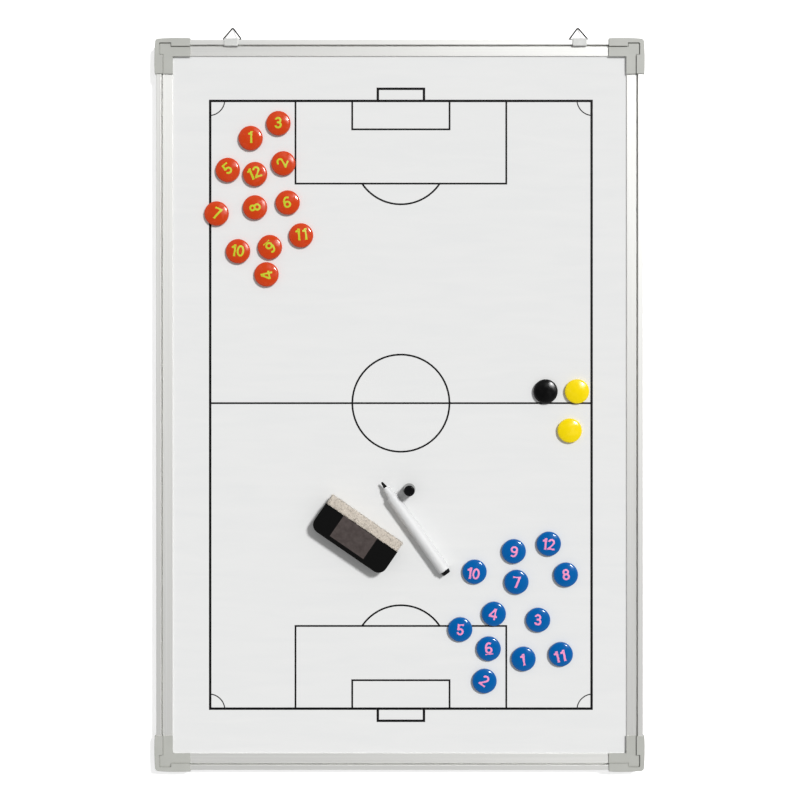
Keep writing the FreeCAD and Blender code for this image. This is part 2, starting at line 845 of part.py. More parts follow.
def rounded_path(points, bends):
    """Straight runs through the points, each inner corner rounded to its own bend radius."""
    edges = []
    here = points[0]
    for before, corner_point, after, bend in zip(points, points[1:], points[2:], bends):
        back = (before - corner_point).normalize()
        ahead = (after - corner_point).normalize()
        half_angle = math.acos(back.dot(ahead)) / 2
        start = corner_point + back * (bend / math.tan(half_angle))
        end = corner_point + ahead * (bend / math.tan(half_angle))
        bisector = (back + ahead).normalize()
        crest = corner_point + bisector * (bend / math.sin(half_angle) - bend)
        edges.append(Part.LineSegment(here, start).toShape())
        edges.append(Part.Arc(start, crest, end).toShape())
        here = end
    edges.append(Part.LineSegment(here, points[-1]).toShape())
    return Part.Wire(edges)


def loop_corners():
    """Half the base and the height of the triangle that the wire's straight runs lie on."""
    apex_bend = size("loop_apex_bend")
    base_bend = size("loop_base_bend")
    base_centre = size("loop_half_base - loop_base_bend")
    rise = size("loop_length - loop_apex_bend - loop_base_bend")
    spread = math.hypot(base_centre, rise)
    # the leg touches both bends from outside, so it leans a little from the line of their middles
    slope = math.atan2(rise, base_centre) + math.asin((apex_bend - base_bend) / spread)
    half_base = base_centre + base_bend / math.tan(slope / 2)
    return half_base, half_base * math.tan(slope)


def loop_droop():
    """How far the loop hangs below level, in degrees, with its apex just clear of the floor."""
    pivot = size("corner_back_wall + knuckle_height")
    apex = size("loop_wire_diameter / 2 + loop_floor_gap")
    return math.degrees(math.asin((pivot - apex) / size("loop_length")))


def hanger_wire(label, place):
    half_base, apex = loop_corners()
    pin_end = size("clip_width / 2 - loop_pin_depth")
    base_bend = size("loop_base_bend")
    corners = [(-pin_end, 0), (-half_base, 0), (0, apex), (half_base, 0), (pin_end, 0)]
    points = [FreeCAD.Vector(across, out, 0) for across, out in corners]
    path = rounded_path(points, (base_bend, size("loop_apex_bend"), base_bend))
    rim = Part.Circle(points[0], FreeCAD.Vector(1, 0, 0), size("loop_wire_diameter / 2"))
    profile = Part.Wire([rim.toShape()])
    loop = finished(doc.addObject("Part::Feature", label), label)
    loop.Shape = path.makePipeShell([profile], True, False)
    loop.Placement = FreeCAD.Placement(
        FreeCAD.Vector(
            size(place),
            size("board_height / 2 + knuckle_out"),
            size("corner_back_wall + knuckle_height"),
        ),
        FreeCAD.Rotation(FreeCAD.Vector(1, 0, 0), -loop_droop()),
    )


for side in ("left", "right"):
    hanger_clip("hanger_clip_" + side, side + "_clip_place")
    hanger_wire("hanger_wire_" + side, side + "_clip_place")
print("wire loops droop", round(loop_droop(), 2), "degrees")


# Button magnets: a domed plastic cap pressed over a ferrite disc


def magnet_cap():
    body = new_body("magnet_cap")
    recess = "ferrite_diameter / 2 + ferrite_gap"
    add_revolution(
        body,
        "magnet_cap_turned",
        [
            ("0", "ferrite_thickness"),
            (recess, "ferrite_thickness"),
            (recess, "0"),
            ("magnet_diameter / 2", "0"),
            ("magnet_diameter / 2", "magnet_height - magnet_dome_rise", "dome_radius"),
            ("0", "magnet_height"),
        ],
    )

    def shoulder(edge):
        flat = all(near(v.Z, "magnet_height - magnet_dome_rise") for v in edge.Vertexes)
        return flat and edge.Closed

    round_edges(body, "magnet_cap_shoulder", "magnet_edge_round", shoulder)
    return body


magnet_parts = [magnet_cap(), doc.addObject("Part::Cylinder", "ferrite_disc")]
bind(magnet_parts[1], Radius="ferrite_diameter / 2", Height="ferrite_thickness")
for label, (group, right, up) in MAGNET_PLACES.items():
    button = finished(doc.addObject("Part::Compound", label), label)
    button.Links = magnet_parts
    middle = MAGNET_GROUPS[group]
    move(
        button,
        f"{middle[0]} + {right} * magnet_diameter",
        f"{middle[1]} + {up} * magnet_diameter",
        "sheet_top + lie_gap",
    )


# Marker pen: turned pieces on one axis, from the end plug to the tip


def pen_pieces():
    return [
        turned_piece(
            "pen_end_plug",
            [
                ("0", "0"),
                ("plug_end_diameter / 2", "0"),
                ("plug_diameter / 2", "plug_length"),
                ("spigot_radius", "plug_length"),
                ("spigot_radius", "reservoir_start"),
                ("0", "reservoir_start"),
            ],
        ),
        turned_piece(
            "pen_barrel",
            [
                ("barrel_bore", "plug_length"),
                ("pen_diameter / 2", "plug_length"),
                ("pen_diameter / 2", "barrel_end"),
                ("barrel_bore", "barrel_end"),
            ],
        ),
        turned_piece(
            "pen_reservoir",
            [
                ("0", "reservoir_start"),
                ("reservoir_diameter / 2", "reservoir_start"),
                ("reservoir_diameter / 2", "reservoir_end"),
                ("nib_diameter / 2 + nib_gap", "reservoir_end"),
                ("nib_diameter / 2 + nib_gap", "nib_back"),
                ("0", "nib_back"),
            ],
        ),
        turned_piece(
            "pen_nose",
            [
                ("nib_diameter / 2 + nib_gap", "reservoir_end"),
                ("spigot_radius", "reservoir_end"),
                ("spigot_radius", "barrel_end"),
                ("neck_diameter / 2", "shoulder_end"),
                ("neck_diameter / 2", "neck_end"),
                ("nose_tip_diameter / 2", "nose_end"),
                ("nib_diameter / 2 + nib_gap", "nose_end"),
            ],
        ),
        turned_piece(
            "pen_nib",
            [
                ("0", "nib_back"),
                ("nib_diameter / 2", "nib_back"),
                ("nib_diameter / 2", "nose_end + nib_collar"),
                ("nib_tip_diameter / 2", "pen_length - nib_tip_diameter / 4"),
                ("0", "pen_length"),
            ],
        ),
    ]


def lay_pen(items):
    """Lays the pen on the sheet: along its own axis, with the tip towards the pen's angle."""
    lie = FreeCAD.Rotation(FreeCAD.Vector(0, 1, 0), 90)
    swing = FreeCAD.Rotation(FreeCAD.Vector(0, 0, 1), size("pen_angle"))
    height = size("sheet_top + pen_lie_gap + pen_diameter / 2")
    across = size("board_width / 2 - pen_from_right")
    up = size("pen_from_bottom - board_height / 2")
    middle = FreeCAD.Vector(across, up, height)
    half_length = FreeCAD.Vector(size("pen_length / 2"), 0, 0)
    for item in items:
        item.Placement = FreeCAD.Placement(middle - swing.multVec(half_length), swing * lie)


lay_pen(pen_pieces())


# Pen cap: off the pen, standing on its open end


def pen_cap():
    body = new_body("pen_cap")
    add_revolution(
        body,
        "pen_cap_turned",
        [
            ("cap_mouth_radius", "0"),
            ("cap_diameter / 2", "0"),
            ("cap_top_diameter / 2", "cap_length"),
            ("cap_dimple_diameter / 2", "cap_length"),
            ("cap_dimple_diameter / 2", "cap_length - cap_dimple_depth"),
            ("0", "cap_length - cap_dimple_depth"),
            ("0", "cap_length - cap_end_wall"),
            ("cap_inner_radius", "cap_length - cap_end_wall"),
            ("cap_inner_radius", "cap_mouth_depth"),
            ("cap_mouth_radius", "cap_mouth_depth"),
        ],
    )

    def top_rim(edge):
        at_top = all(near(v.Z, "cap_length") for v in edge.Vertexes)
        return at_top and edge.Closed and near(edge.BoundBox.XLength, "cap_top_diameter")

    round_edges(body, "pen_cap_rounding", "cap_edge_round", top_rim)
    across = "board_width / 2 - cap_from_right"
    move(body, across, "cap_from_bottom - board_height / 2", "sheet_top + lie_gap")
    return finished(body, "pen_cap")


pen_cap()


# Eraser: a moulded body with a felt pad glued into its open side, lying on its long side


def eraser_body():
    """Length along X and height along Y with the felt towards +Y; its width stands up."""
    body = new_body("eraser_body")
    half_length = "eraser_length / 2"
    half_height = "eraser_height / 2"
    plan = [
        (f"-{half_length}", f"-{half_height}"),
        (half_length, f"-{half_height}"),
        (half_length, "felt_seat"),
        (f"-{half_length}", "felt_seat"),
    ]
    add_pad(body, "eraser_block", add_sketch(body, "eraser_plan", "XY_Plane", plan), "eraser_width")

    def handle_corner(edge):
        upright = abs(edge.tangentAt(edge.FirstParameter).z) > 0.99
        return upright and near(edge.CenterOfMass.y, f"-{half_height}")

    round_edges(body, "eraser_corners", "eraser_corner_round", handle_corner)

    def face_outline(edge):
        on_face = all(near(v.Z, "0") or near(v.Z, "eraser_width") for v in edge.Vertexes)
        level = abs(edge.Vertexes[0].Z - edge.Vertexes[-1].Z) < 0.01
        return on_face and level and middle_of(edge).y < size("felt_seat") - 0.01

    round_edges(body, "eraser_edges", "eraser_edge_round", face_outline)
    wall = "eraser_wall"
    add_block(
        body,
        "SubtractiveBox",
        "eraser_hollow",
        (f"{wall} - {half_length}", f"eraser_corner_round - {half_height}", wall),
        (f"{half_length} - {wall}", "felt_seat", f"eraser_width - {wall}"),
    )
    return finished(body, "eraser_body")


def eraser_felt():
    felt = finished(doc.addObject("Part::Box", "eraser_felt"), "eraser_felt")
    bind(
        felt,
        Length="eraser_length - 2 * felt_inset",
        Width="felt_thickness",
        Height="eraser_width - 2 * felt_inset",
    )
    return felt


def eraser_label():
    label = finished(doc.addObject("Part::Box", "eraser_label"), "eraser_label")
    bind(label, Length="label_length", Width="label_drop", Height="label_thickness")
    return label


def lay_eraser():
    """Lays the three pieces on the sheet as one, each at its own place on the eraser."""
    swing = FreeCAD.Rotation(FreeCAD.Vector(0, 0, 1), size("eraser_angle"))
    across = size("board_width / 2 - eraser_from_right")
    up = size("eraser_from_bottom - board_height / 2")
    middle = FreeCAD.Vector(across, up, size("sheet_top + lie_gap"))
    for item, own_place in (
        (eraser_body(), ("0", "0", "0")),
        (eraser_felt(), ("felt_inset - eraser_length / 2", "felt_seat", "felt_inset")),
        (eraser_label(), ("label_left_margin - eraser_length / 2", "felt_seat - label_drop", "eraser_width")),
    ):
        place = FreeCAD.Vector(*(size(text) for text in own_place))
        item.Placement = FreeCAD.Placement(middle + swing.multVec(place), swing)


lay_eraser()


doc.recompute()
for item in doc.Objects:
    if "Invalid" in item.State or "Error" in item.State:
        raise RuntimeError(f"{item.Label} failed: {item.State}")
for item in pieces:
    if item.Shape.isNull() or not item.Shape.isValid():
        raise RuntimeError(f"{item.Label} has no valid shape")
os.makedirs("parts", exist_ok=True)
for item in pieces:
    item.Shape.exportStep(f"parts/{item.Label}.step")
print(len(pieces), "pieces written")
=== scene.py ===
import math
from itertools import product

import bmesh
import bpy
from mathutils import Matrix, Vector, noise
from mathutils.geometry import delaunay_2d_cdt


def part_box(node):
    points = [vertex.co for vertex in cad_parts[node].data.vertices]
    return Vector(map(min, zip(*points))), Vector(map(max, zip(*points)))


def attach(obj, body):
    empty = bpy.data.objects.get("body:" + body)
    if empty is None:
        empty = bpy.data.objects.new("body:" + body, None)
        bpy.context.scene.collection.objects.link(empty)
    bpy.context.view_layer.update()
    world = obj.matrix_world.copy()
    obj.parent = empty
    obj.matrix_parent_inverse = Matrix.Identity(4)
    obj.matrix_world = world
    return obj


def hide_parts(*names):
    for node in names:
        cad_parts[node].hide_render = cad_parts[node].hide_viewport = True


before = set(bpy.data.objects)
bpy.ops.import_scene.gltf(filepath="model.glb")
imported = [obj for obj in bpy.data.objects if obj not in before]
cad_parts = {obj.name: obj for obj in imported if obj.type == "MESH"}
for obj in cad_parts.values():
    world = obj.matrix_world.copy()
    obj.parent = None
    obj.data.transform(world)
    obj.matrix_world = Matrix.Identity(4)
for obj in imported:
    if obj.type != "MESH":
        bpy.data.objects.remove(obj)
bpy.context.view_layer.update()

# Panel: a steel sheet with baked white lacquer, a card honeycomb core and a galvanised back sheet.
# The three are glued into one stiff board, and the rails grip its edges.
MM = 0.001
# where a mix node keeps its two colours among its inputs, and their mix among its outputs
FIRST_COLOUR, SECOND_COLOUR, MIXED_COLOUR = 6, 7, 2


def linear(text):
    """A colour written as sRGB hex, as linear red, green, blue and alpha."""
    shares = [int(text[i:i + 2], 16) / 255 for i in (1, 3, 5)]
    return [s / 12.92 if s <= 0.04045 else ((s + 0.055) / 1.055) ** 2.4 for s in shares] + [1.0]


def join(tree, node, inputs):
    """Sets a node's inputs, each to a value or from another node's output."""
    for name, value in inputs.items():
        if isinstance(value, bpy.types.NodeSocket):
            tree.links.new(value, node.inputs[name])
        else:
            node.inputs[name].default_value = value


def add(tree, kind, inputs, **settings):
    """A new node with its settings, values and links."""
    node = tree.nodes.new(kind)
    for name, value in settings.items():
        setattr(node, name, value)
    join(tree, node, inputs)
    return node


def new_finish(name, constants):
    """A material with the values that are the same all over, its tree, shader and own coordinates."""
    material = bpy.data.materials.new(name)
    material.use_nodes = True
    tree = material.node_tree
    shader = tree.nodes["Principled BSDF"]
    join(tree, shader, constants)
    place = add(tree, "ShaderNodeTexCoord", {}).outputs["Object"]
    return material, tree, shader, place


def dress(node, material):
    """Gives a node of the frame its finish."""
    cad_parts[node].material_slots[0].material = material


def baked_white_lacquer():
    """Baked enamel on steel: an even soft gloss, faint orange peel and the ghost of wiped strokes."""
    material, tree, shader, place = new_finish("baked_white_lacquer", {"IOR": 1.5})
    wiping = add(tree, "ShaderNodeMapping", {
        "Vector": place,
        "Rotation": (0, 0, math.radians(38)),
        "Scale": (1 / (90 * MM), 1 / (14 * MM), 1 / (90 * MM)),
    })
    strokes = add(tree, "ShaderNodeTexNoise", {
        "Vector": wiping.outputs["Vector"], "Scale": 1.0, "Detail": 4.0, "Distortion": 0.7,
    })
    tone = add(tree, "ShaderNodeMix", {
        "Factor": strokes.outputs["Fac"],
        FIRST_COLOUR: linear("#e9eaea"), SECOND_COLOUR: linear("#f0f0ef"),
    }, data_type="RGBA")
    gloss = add(tree, "ShaderNodeMapRange", {
        "Value": strokes.outputs["Fac"], "To Min": 0.13, "To Max": 0.2,
    })
    peel = add(tree, "ShaderNodeTexNoise", {"Vector": place, "Scale": 1 / (1.6 * MM), "Detail": 1.0})
    dents = add(tree, "ShaderNodeBump", {
        "Height": peel.outputs["Fac"], "Strength": 0.2, "Distance": 0.03 * MM,
    })
    join(tree, shader, {
        "Base Color": tone.outputs[MIXED_COLOUR],
        "Roughness": gloss.outputs["Result"],
        "Normal": dents.outputs["Normal"],
    })
    return material


def galvanised_sheet():
    """Hot-dip zinc: large flat crystals that differ a little in grey and in gloss."""
    material, tree, shader, place = new_finish("galvanised_sheet", {"Metallic": 1.0})
    spangle = add(tree, "ShaderNodeTexVoronoi", {
        "Vector": place, "Scale": 1 / (14 * MM), "Randomness": 1.0,
    })
    grey = add(tree, "ShaderNodeSeparateColor", {"Color": spangle.outputs["Color"]})
    tone = add(tree, "ShaderNodeMix", {
        "Factor": grey.outputs["Red"],
        FIRST_COLOUR: linear("#a7abad"), SECOND_COLOUR: linear("#c6c9ca"),
    }, data_type="RGBA")
    gloss = add(tree, "ShaderNodeMapRange", {
        "Value": grey.outputs["Green"], "To Min": 0.34, "To Max": 0.52,
    })
    join(tree, shader, {"Base Color": tone.outputs[MIXED_COLOUR], "Roughness": gloss.outputs["Result"]})
    return material


def honeycomb_card():
    """Kraft card seen edge on, only where the board is taken apart: light card walls, with painted shade
    darkening the hollow cells between them.
    """
    material, tree, shader, place = new_finish("honeycomb_card", {"Roughness": 0.9})
    cells = add(tree, "ShaderNodeTexVoronoi", {
        "Vector": place, "Scale": 1 / (10 * MM), "Randomness": 0.1,
    }, feature="DISTANCE_TO_EDGE")
    walls = add(tree, "ShaderNodeMapRange", {"Value": cells.outputs["Distance"], "From Max": 0.06})
    # the hollow of each cell gets the darker brown: painted shade in the cells, not a second card colour
    tone = add(tree, "ShaderNodeMix", {
        "Factor": walls.outputs["Result"],
        FIRST_COLOUR: linear("#b08a5c"), SECOND_COLOUR: linear("#6e5230"),
    }, data_type="RGBA")
    join(tree, shader, {"Base Color": tone.outputs[MIXED_COLOUR]})
    return material


dress("writing_sheet", baked_white_lacquer())
dress("back_sheet", galvanised_sheet())
dress("core_board", honeycomb_card())


# Pitch print: the lines of a football pitch, screen printed on the lacquer in black ink.
# The ink lies a tenth of a millimetre proud and is a little more matt than the lacquer.
def screen_ink():
    """Screen ink: dense black with the faint unevenness of the mesh it came through."""
    material, tree, shader, place = new_finish("screen_ink", {
        "Roughness": 0.5, "Specular IOR Level": 0.15,
    })
    mesh_marks = add(tree, "ShaderNodeTexNoise", {
        "Vector": place, "Scale": 1 / (0.8 * MM), "Detail": 2.0,
    })
    tone = add(tree, "ShaderNodeMix", {
        "Factor": mesh_marks.outputs["Fac"],
        FIRST_COLOUR: linear("#070708"), SECOND_COLOUR: linear("#111112"),
    }, data_type="RGBA")
    skin = add(tree, "ShaderNodeBump", {
        "Height": mesh_marks.outputs["Fac"], "Strength": 0.3, "Distance": 0.02 * MM,
    })
    join(tree, shader, {"Base Color": tone.outputs[MIXED_COLOUR], "Normal": skin.outputs["Normal"]})
    return material


dress("pitch_print", screen_ink())


# Rails: four lengths of extruded aluminium, satin anodised, cut square and held by the corner pieces.
# The die leaves fine lines along each length, which spread a lamp's glint across the rail.
def anodised_aluminium(run):
    """Satin anodised extrusion: pale metal with drawn lines along it and a wide soft glint across."""
    material, tree, shader, place = new_finish("anodised_aluminium_" + run, {
        "Metallic": 0.6, "Anisotropic": 0.2,
    })
    across, along = 1 / (0.9 * MM), 1 / (420 * MM)
    lines = add(tree, "ShaderNodeMapping", {
        "Vector": place,
        "Scale": (along, across, across) if run == "x" else (across, along, across),
    })
    drawn = add(tree, "ShaderNodeTexNoise", {
        "Vector": lines.outputs["Vector"], "Scale": 1.0, "Detail": 3.0,
    })
    tone = add(tree, "ShaderNodeMix", {
        "Factor": drawn.outputs["Fac"],
        FIRST_COLOUR: linear("#e0e0dd"), SECOND_COLOUR: linear("#f4f4f1"),
    }, data_type="RGBA")
    gloss = add(tree, "ShaderNodeMapRange", {
        "Value": drawn.outputs["Fac"], "To Min": 0.44, "To Max": 0.58,
    })
    ridges = add(tree, "ShaderNodeBump", {
        "Height": drawn.outputs["Fac"], "Strength": 0.25, "Distance": 0.05 * MM,
    })
    round_rail = add(tree, "ShaderNodeTangent", {}, direction_type="RADIAL", axis=run.upper())
    join(tree, shader, {
        "Base Color": tone.outputs[MIXED_COLOUR],
        "Roughness": gloss.outputs["Result"],
        "Normal": ridges.outputs["Normal"],
        "Tangent": round_rail.outputs["Tangent"],
    })
    return material


for run, rails in {"x": ("rail_top", "rail_bottom"), "y": ("rail_left", "rail_right")}.items():
    rail_finish = anodised_aluminium(run)
    for rail in rails:
        dress(rail, rail_finish)


# Corner pieces: moulded sleeves of light grey ABS pushed over the rail ends.
# Each carries a stepped front that follows the rail's rim, and is screwed from behind.
def light_grey_abs():
    """Moulded ABS from a spark-eroded tool: even warm grey with a fine satin grain."""
    material, tree, shader, place = new_finish("light_grey_abs", {"IOR": 1.54})
    grain = add(tree, "ShaderNodeTexNoise", {
        "Vector": place, "Scale": 1 / (0.45 * MM), "Detail": 2.0,
    })
    cloud = add(tree, "ShaderNodeTexNoise", {
        "Vector": place, "Scale": 1 / (18 * MM), "Detail": 2.0,
    })
    tone = add(tree, "ShaderNodeMix", {
        "Factor": cloud.outputs["Fac"],
        FIRST_COLOUR: linear("#b2b3ad"), SECOND_COLOUR: linear("#bebfb9"),
    }, data_type="RGBA")
    gloss = add(tree, "ShaderNodeMapRange", {
        "Value": grain.outputs["Fac"], "To Min": 0.42, "To Max": 0.6,
    })
    pits = add(tree, "ShaderNodeBump", {
        "Height": grain.outputs["Fac"], "Strength": 0.35, "Distance": 0.05 * MM,
    })
    join(tree, shader, {
        "Base Color": tone.outputs[MIXED_COLOUR],
        "Roughness": gloss.outputs["Result"],
        "Normal": pits.outputs["Normal"],
    })
    return material


corner_finish = light_grey_abs()
for corner in ("top_left", "top_right", "bottom_left", "bottom_right"):
    dress("corner_" + corner, corner_finish)


# Corner screws: countersunk steel screws with a cross recess, two in the back of each corner piece.
# Bright zinc plating keeps them from rusting.
def bright_zinc():
    """Zinc plate: cool bright metal, clouded where it was handled."""
    material, tree, shader, place = new_finish("bright_zinc", {"Metallic": 1.0})
    cloud = add(tree, "ShaderNodeTexNoise", {
        "Vector": place, "Scale": 1 / (2.2 * MM), "Detail": 3.0,
    })
    tone = add(tree, "ShaderNodeMix", {
        "Factor": cloud.outputs["Fac"],
        FIRST_COLOUR: linear("#a9adb2"), SECOND_COLOUR: linear("#d3d6da"),
    }, data_type="RGBA")
    gloss = add(tree, "ShaderNodeMapRange", {
        "Value": cloud.outputs["Fac"], "To Min": 0.22, "To Max": 0.42,
    })
    join(tree, shader, {"Base Color": tone.outputs[MIXED_COLOUR], "Roughness": gloss.outputs["Result"]})
    return material


dress("corner_screws", bright_zinc())


# Hanger clips: bent strips of clear plastic that snap round the top rail and slide along it.
# Each has a knuckle behind the rail that a wire loop turns in.
def milky_clear_plastic():
    """Unpigmented polypropylene: milky, lets some light through, with a waxy sheen."""
    material, tree, shader, place = new_finish("milky_clear_plastic", {
        "IOR": 1.49, "Transmission Weight": 0.2,
    })
    flow = add(tree, "ShaderNodeTexNoise", {
        "Vector": place, "Scale": 1 / (4 * MM), "Detail": 3.0, "Distortion": 0.8,
    })
    tone = add(tree, "ShaderNodeMix", {
        "Factor": flow.outputs["Fac"],
        FIRST_COLOUR: linear("#e0e1de"), SECOND_COLOUR: linear("#f4f5f2"),
    }, data_type="RGBA")
    gloss = add(tree, "ShaderNodeMapRange", {
        "Value": flow.outputs["Fac"], "To Min": 0.25, "To Max": 0.42,
    })
    join(tree, shader, {"Base Color": tone.outputs[MIXED_COLOUR], "Roughness": gloss.outputs["Result"]})
    return material


clip_finish = milky_clear_plastic()
dress("hanger_clip_left", clip_finish)
dress("hanger_clip_right", clip_finish)


# Wire loops: triangles of hard-drawn steel wire, sprung into the knuckles of the clips.
# They hang the board on two hooks, and swing out from the back plane.
def nickelled_wire():
    """Nickel on drawn wire, with painted shade: near-black metal so the wire reads as a dark line, and
    soft bands where it was bent.
    """
    material, tree, shader, place = new_finish("nickelled_wire", {"Metallic": 1.0})
    bands = add(tree, "ShaderNodeTexNoise", {
        "Vector": place, "Scale": 1 / (1.8 * MM), "Detail": 3.0,
    })
    # near-black base colours: painted shade darkening the bright nickel to the dark line the wire makes
    # under the lamp
    tone = add(tree, "ShaderNodeMix", {
        "Factor": bands.outputs["Fac"],
        FIRST_COLOUR: linear("#2b2a27"), SECOND_COLOUR: linear("#4c4a45"),
    }, data_type="RGBA")
    gloss = add(tree, "ShaderNodeMapRange", {
        "Value": bands.outputs["Fac"], "To Min": 0.24, "To Max": 0.4,
    })
    join(tree, shader, {"Base Color": tone.outputs[MIXED_COLOUR], "Roughness": gloss.outputs["Result"]})
    return material


wire_finish = nickelled_wire()
dress("hanger_wire_left", wire_finish)
dress("hanger_wire_right", wire_finish)


# Button magnets: glossy moulded caps with a low dome, each with a ferrite disc pressed into its back.
# Twelve red, twelve blue, two yellow and one black; each lies on the sheet by itself.
DOME_RADIUS = 49.0 * MM
SHOULDER_START = 12.6 * MM
SHOULDER_ROUND = 6.5 * MM
RIM_ROUND = 0.8 * MM
FOOT_ROUND = 0.5 * MM
FERRITE_RADIUS = 11.0 * MM
FERRITE_SINK = 0.15 * MM
BUTTON_SIDES = 72
FOOT_STEPS, RIM_STEPS, SHOULDER_STEPS, DOME_STEPS = 4, 5, 8, 12
BUTTON_COLOURS = {"red": "#d64417", "blue": "#0061ac", "yellow": "#ffe20a", "black": "#0f0f0f"}
POLISHED = 0.12
SCUFFED = {"red": 0.36, "blue": 0.18, "yellow": 0.32, "black": 0.27}


def arc(centre, radius, start, end, steps):
    """Points along an arc, with the angles in radians."""
    turns = [start + (end - start) * i / steps for i in range(steps + 1)]
    return [(centre[0] + radius * math.cos(t), centre[1] + radius * math.sin(t)) for t in turns]


def turned_mesh(name, profile, sides):
    """A mesh turned about the vertical axis from a profile of (radius, height) between its ends."""
    mesh = bmesh.new()
    rings = []
    for radius, height in profile:
        if radius == 0:
            rings.append([mesh.verts.new((0, 0, height))])
            continue
        turns = [2 * math.pi * i / sides for i in range(sides)]
        places = [(radius * math.cos(t), radius * math.sin(t), height) for t in turns]
        rings.append([mesh.verts.new(place) for place in places])
    for lower, upper in zip(rings, rings[1:]):
        for i in range(sides):
            corners = [
                lower[i % len(lower)], lower[(i + 1) % len(lower)],
                upper[(i + 1) % len(upper)], upper[i % len(upper)],
            ]
            mesh.faces.new(list(dict.fromkeys(corners)))
    bmesh.ops.recalc_face_normals(mesh, faces=mesh.faces[:])
    for face in mesh.faces:
        face.smooth = True
    data = bpy.data.meshes.new(name)
    mesh.to_mesh(data)
    mesh.free()
    return data


def glossy_styrene(colour, text):
    """Polished polystyrene: deep even colour, small hard glints and patches dulled by handling."""
    material, tree, shader, place = new_finish("glossy_styrene_" + colour, {
        "IOR": 1.59, "Specular IOR Level": 0.32,
    })
    scuffs = add(tree, "ShaderNodeTexNoise", {
        "Vector": place, "Scale": 1 / (8 * MM), "Detail": 1.5,
    })
    shade = add(tree, "ShaderNodeHueSaturation", {"Value": 0.93, "Color": linear(text)})
    tone = add(tree, "ShaderNodeMix", {
        "Factor": scuffs.outputs["Fac"],
        FIRST_COLOUR: shade.outputs["Color"], SECOND_COLOUR: linear(text),
    }, data_type="RGBA")
    gloss = add(tree, "ShaderNodeMapRange", {
        "Value": scuffs.outputs["Fac"], "From Min": 0.4, "From Max": 0.7,
        "To Min": POLISHED, "To Max": SCUFFED[colour],
    })
    sink = add(tree, "ShaderNodeTexNoise", {"Vector": place, "Scale": 1 / (9 * MM), "Detail": 1.0})
    waves = add(tree, "ShaderNodeBump", {
        "Height": sink.outputs["Fac"], "Strength": 0.1, "Distance": 0.06 * MM,
    })
    join(tree, shader, {
        "Base Color": tone.outputs[MIXED_COLOUR],
        "Roughness": gloss.outputs["Result"],
        "Normal": waves.outputs["Normal"],
    })
    return material


def sintered_ferrite():
    """Sintered ferrite: dull charcoal with a gritty ground face."""
    material, tree, shader, place = new_finish("sintered_ferrite", {"Roughness": 0.7})
    grit = add(tree, "ShaderNodeTexNoise", {"Vector": place, "Scale": 1 / (0.5 * MM), "Detail": 3.0})
    tone = add(tree, "ShaderNodeMix", {
        "Factor": grit.outputs["Fac"],
        FIRST_COLOUR: linear("#2b2b2d"), SECOND_COLOUR: linear("#4a4a4c"),
    }, data_type="RGBA")
    pits = add(tree, "ShaderNodeBump", {
        "Height": grit.outputs["Fac"], "Strength": 0.5, "Distance": 0.08 * MM,
    })
    join(tree, shader, {"Base Color": tone.outputs[MIXED_COLOUR], "Normal": pits.outputs["Normal"]})
    return material


def button_profile(radius, height):
    """A cap from its ferrite disc, up the rim, over the shoulder and dome to the middle."""
    upright = math.pi / 2
    slope = math.asin(SHOULDER_START / DOME_RADIUS)
    reach = DOME_RADIUS - SHOULDER_ROUND
    shoulder = (reach * math.sin(slope), height - DOME_RADIUS + reach * math.cos(slope))
    rim_slope = math.asin((radius - RIM_ROUND - shoulder[0]) / (SHOULDER_ROUND - RIM_ROUND))
    rim = (radius - RIM_ROUND, shoulder[1] + (SHOULDER_ROUND - RIM_ROUND) * math.cos(rim_slope))
    return (
        [(0, FERRITE_SINK), (FERRITE_RADIUS, FERRITE_SINK), (FERRITE_RADIUS, 0)]
        + arc((radius - FOOT_ROUND, FOOT_ROUND), FOOT_ROUND, -upright, 0, FOOT_STEPS)
        + arc(rim, RIM_ROUND, 0, upright - rim_slope, RIM_STEPS)
        + arc(shoulder, SHOULDER_ROUND, upright - rim_slope, upright - slope, SHOULDER_STEPS)[1:]
        + arc((0, height - DOME_RADIUS), DOME_RADIUS, upright - slope, upright, DOME_STEPS)[1:-1]
        + [(0, height)]
    )


def put(name, data):
    """An object of the scene, at the origin and unturned."""
    item = bpy.data.objects.new(name, data)
    bpy.context.scene.collection.objects.link(item)
    return item


button_finishes = {colour: glossy_styrene(colour, text) for colour, text in BUTTON_COLOURS.items()}
ferrite_finish = sintered_ferrite()
button_nodes = sorted(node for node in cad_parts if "_magnet" in node)
button_low, button_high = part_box(button_nodes[0])
BUTTON_RADIUS = (button_high.x - button_low.x) / 2
BUTTON_HEIGHT = button_high.z - button_low.z
button_mesh = turned_mesh("button", button_profile(BUTTON_RADIUS, BUTTON_HEIGHT), BUTTON_SIDES)

for node in button_nodes:
    low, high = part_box(node)
    colour = node.split("_")[0]
    data = button_mesh.copy()
    data.materials.append(button_finishes[colour])
    data.materials.append(ferrite_finish)
    for face in data.polygons:
        if face.center.z < BUTTON_HEIGHT / 2 and face.center.xy.length < FERRITE_RADIUS:
            face.material_index = 1
    data.transform(Matrix.Translation(((low.x + high.x) / 2, (low.y + high.y) / 2, low.z)))
    button = put(node + "_button", data)
    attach(button, node)
    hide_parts(node)


# Button numbers: plain numbers from 1 to 12 pad printed on the domes, lime on red and pink on blue.
# Each figure is made of a few strokes, and a six is underlined to tell it from a nine.
NUMBER_HEIGHTS = {"red": 14.6 * MM, "blue": 14.2 * MM}
NUMBER_STRETCH = 1.04
INK_FILM = 0.03 * MM
INK_PITCH = 1.1 * MM
INK_MERGE = 0.001 * MM
# the figures' own sizes are shares of their height
STROKE = 0.158
FIGURE_WIDTH = 0.64
ODD_WIDTHS = {"1": 0.365, "4": 0.68}
FIGURE_GAP = 0.05
GAP_IN_ELEVEN = 0.19
UNDERLINE_LOW, UNDERLINE_HIGH = -0.59, -0.49
BOW_STEPS = 14


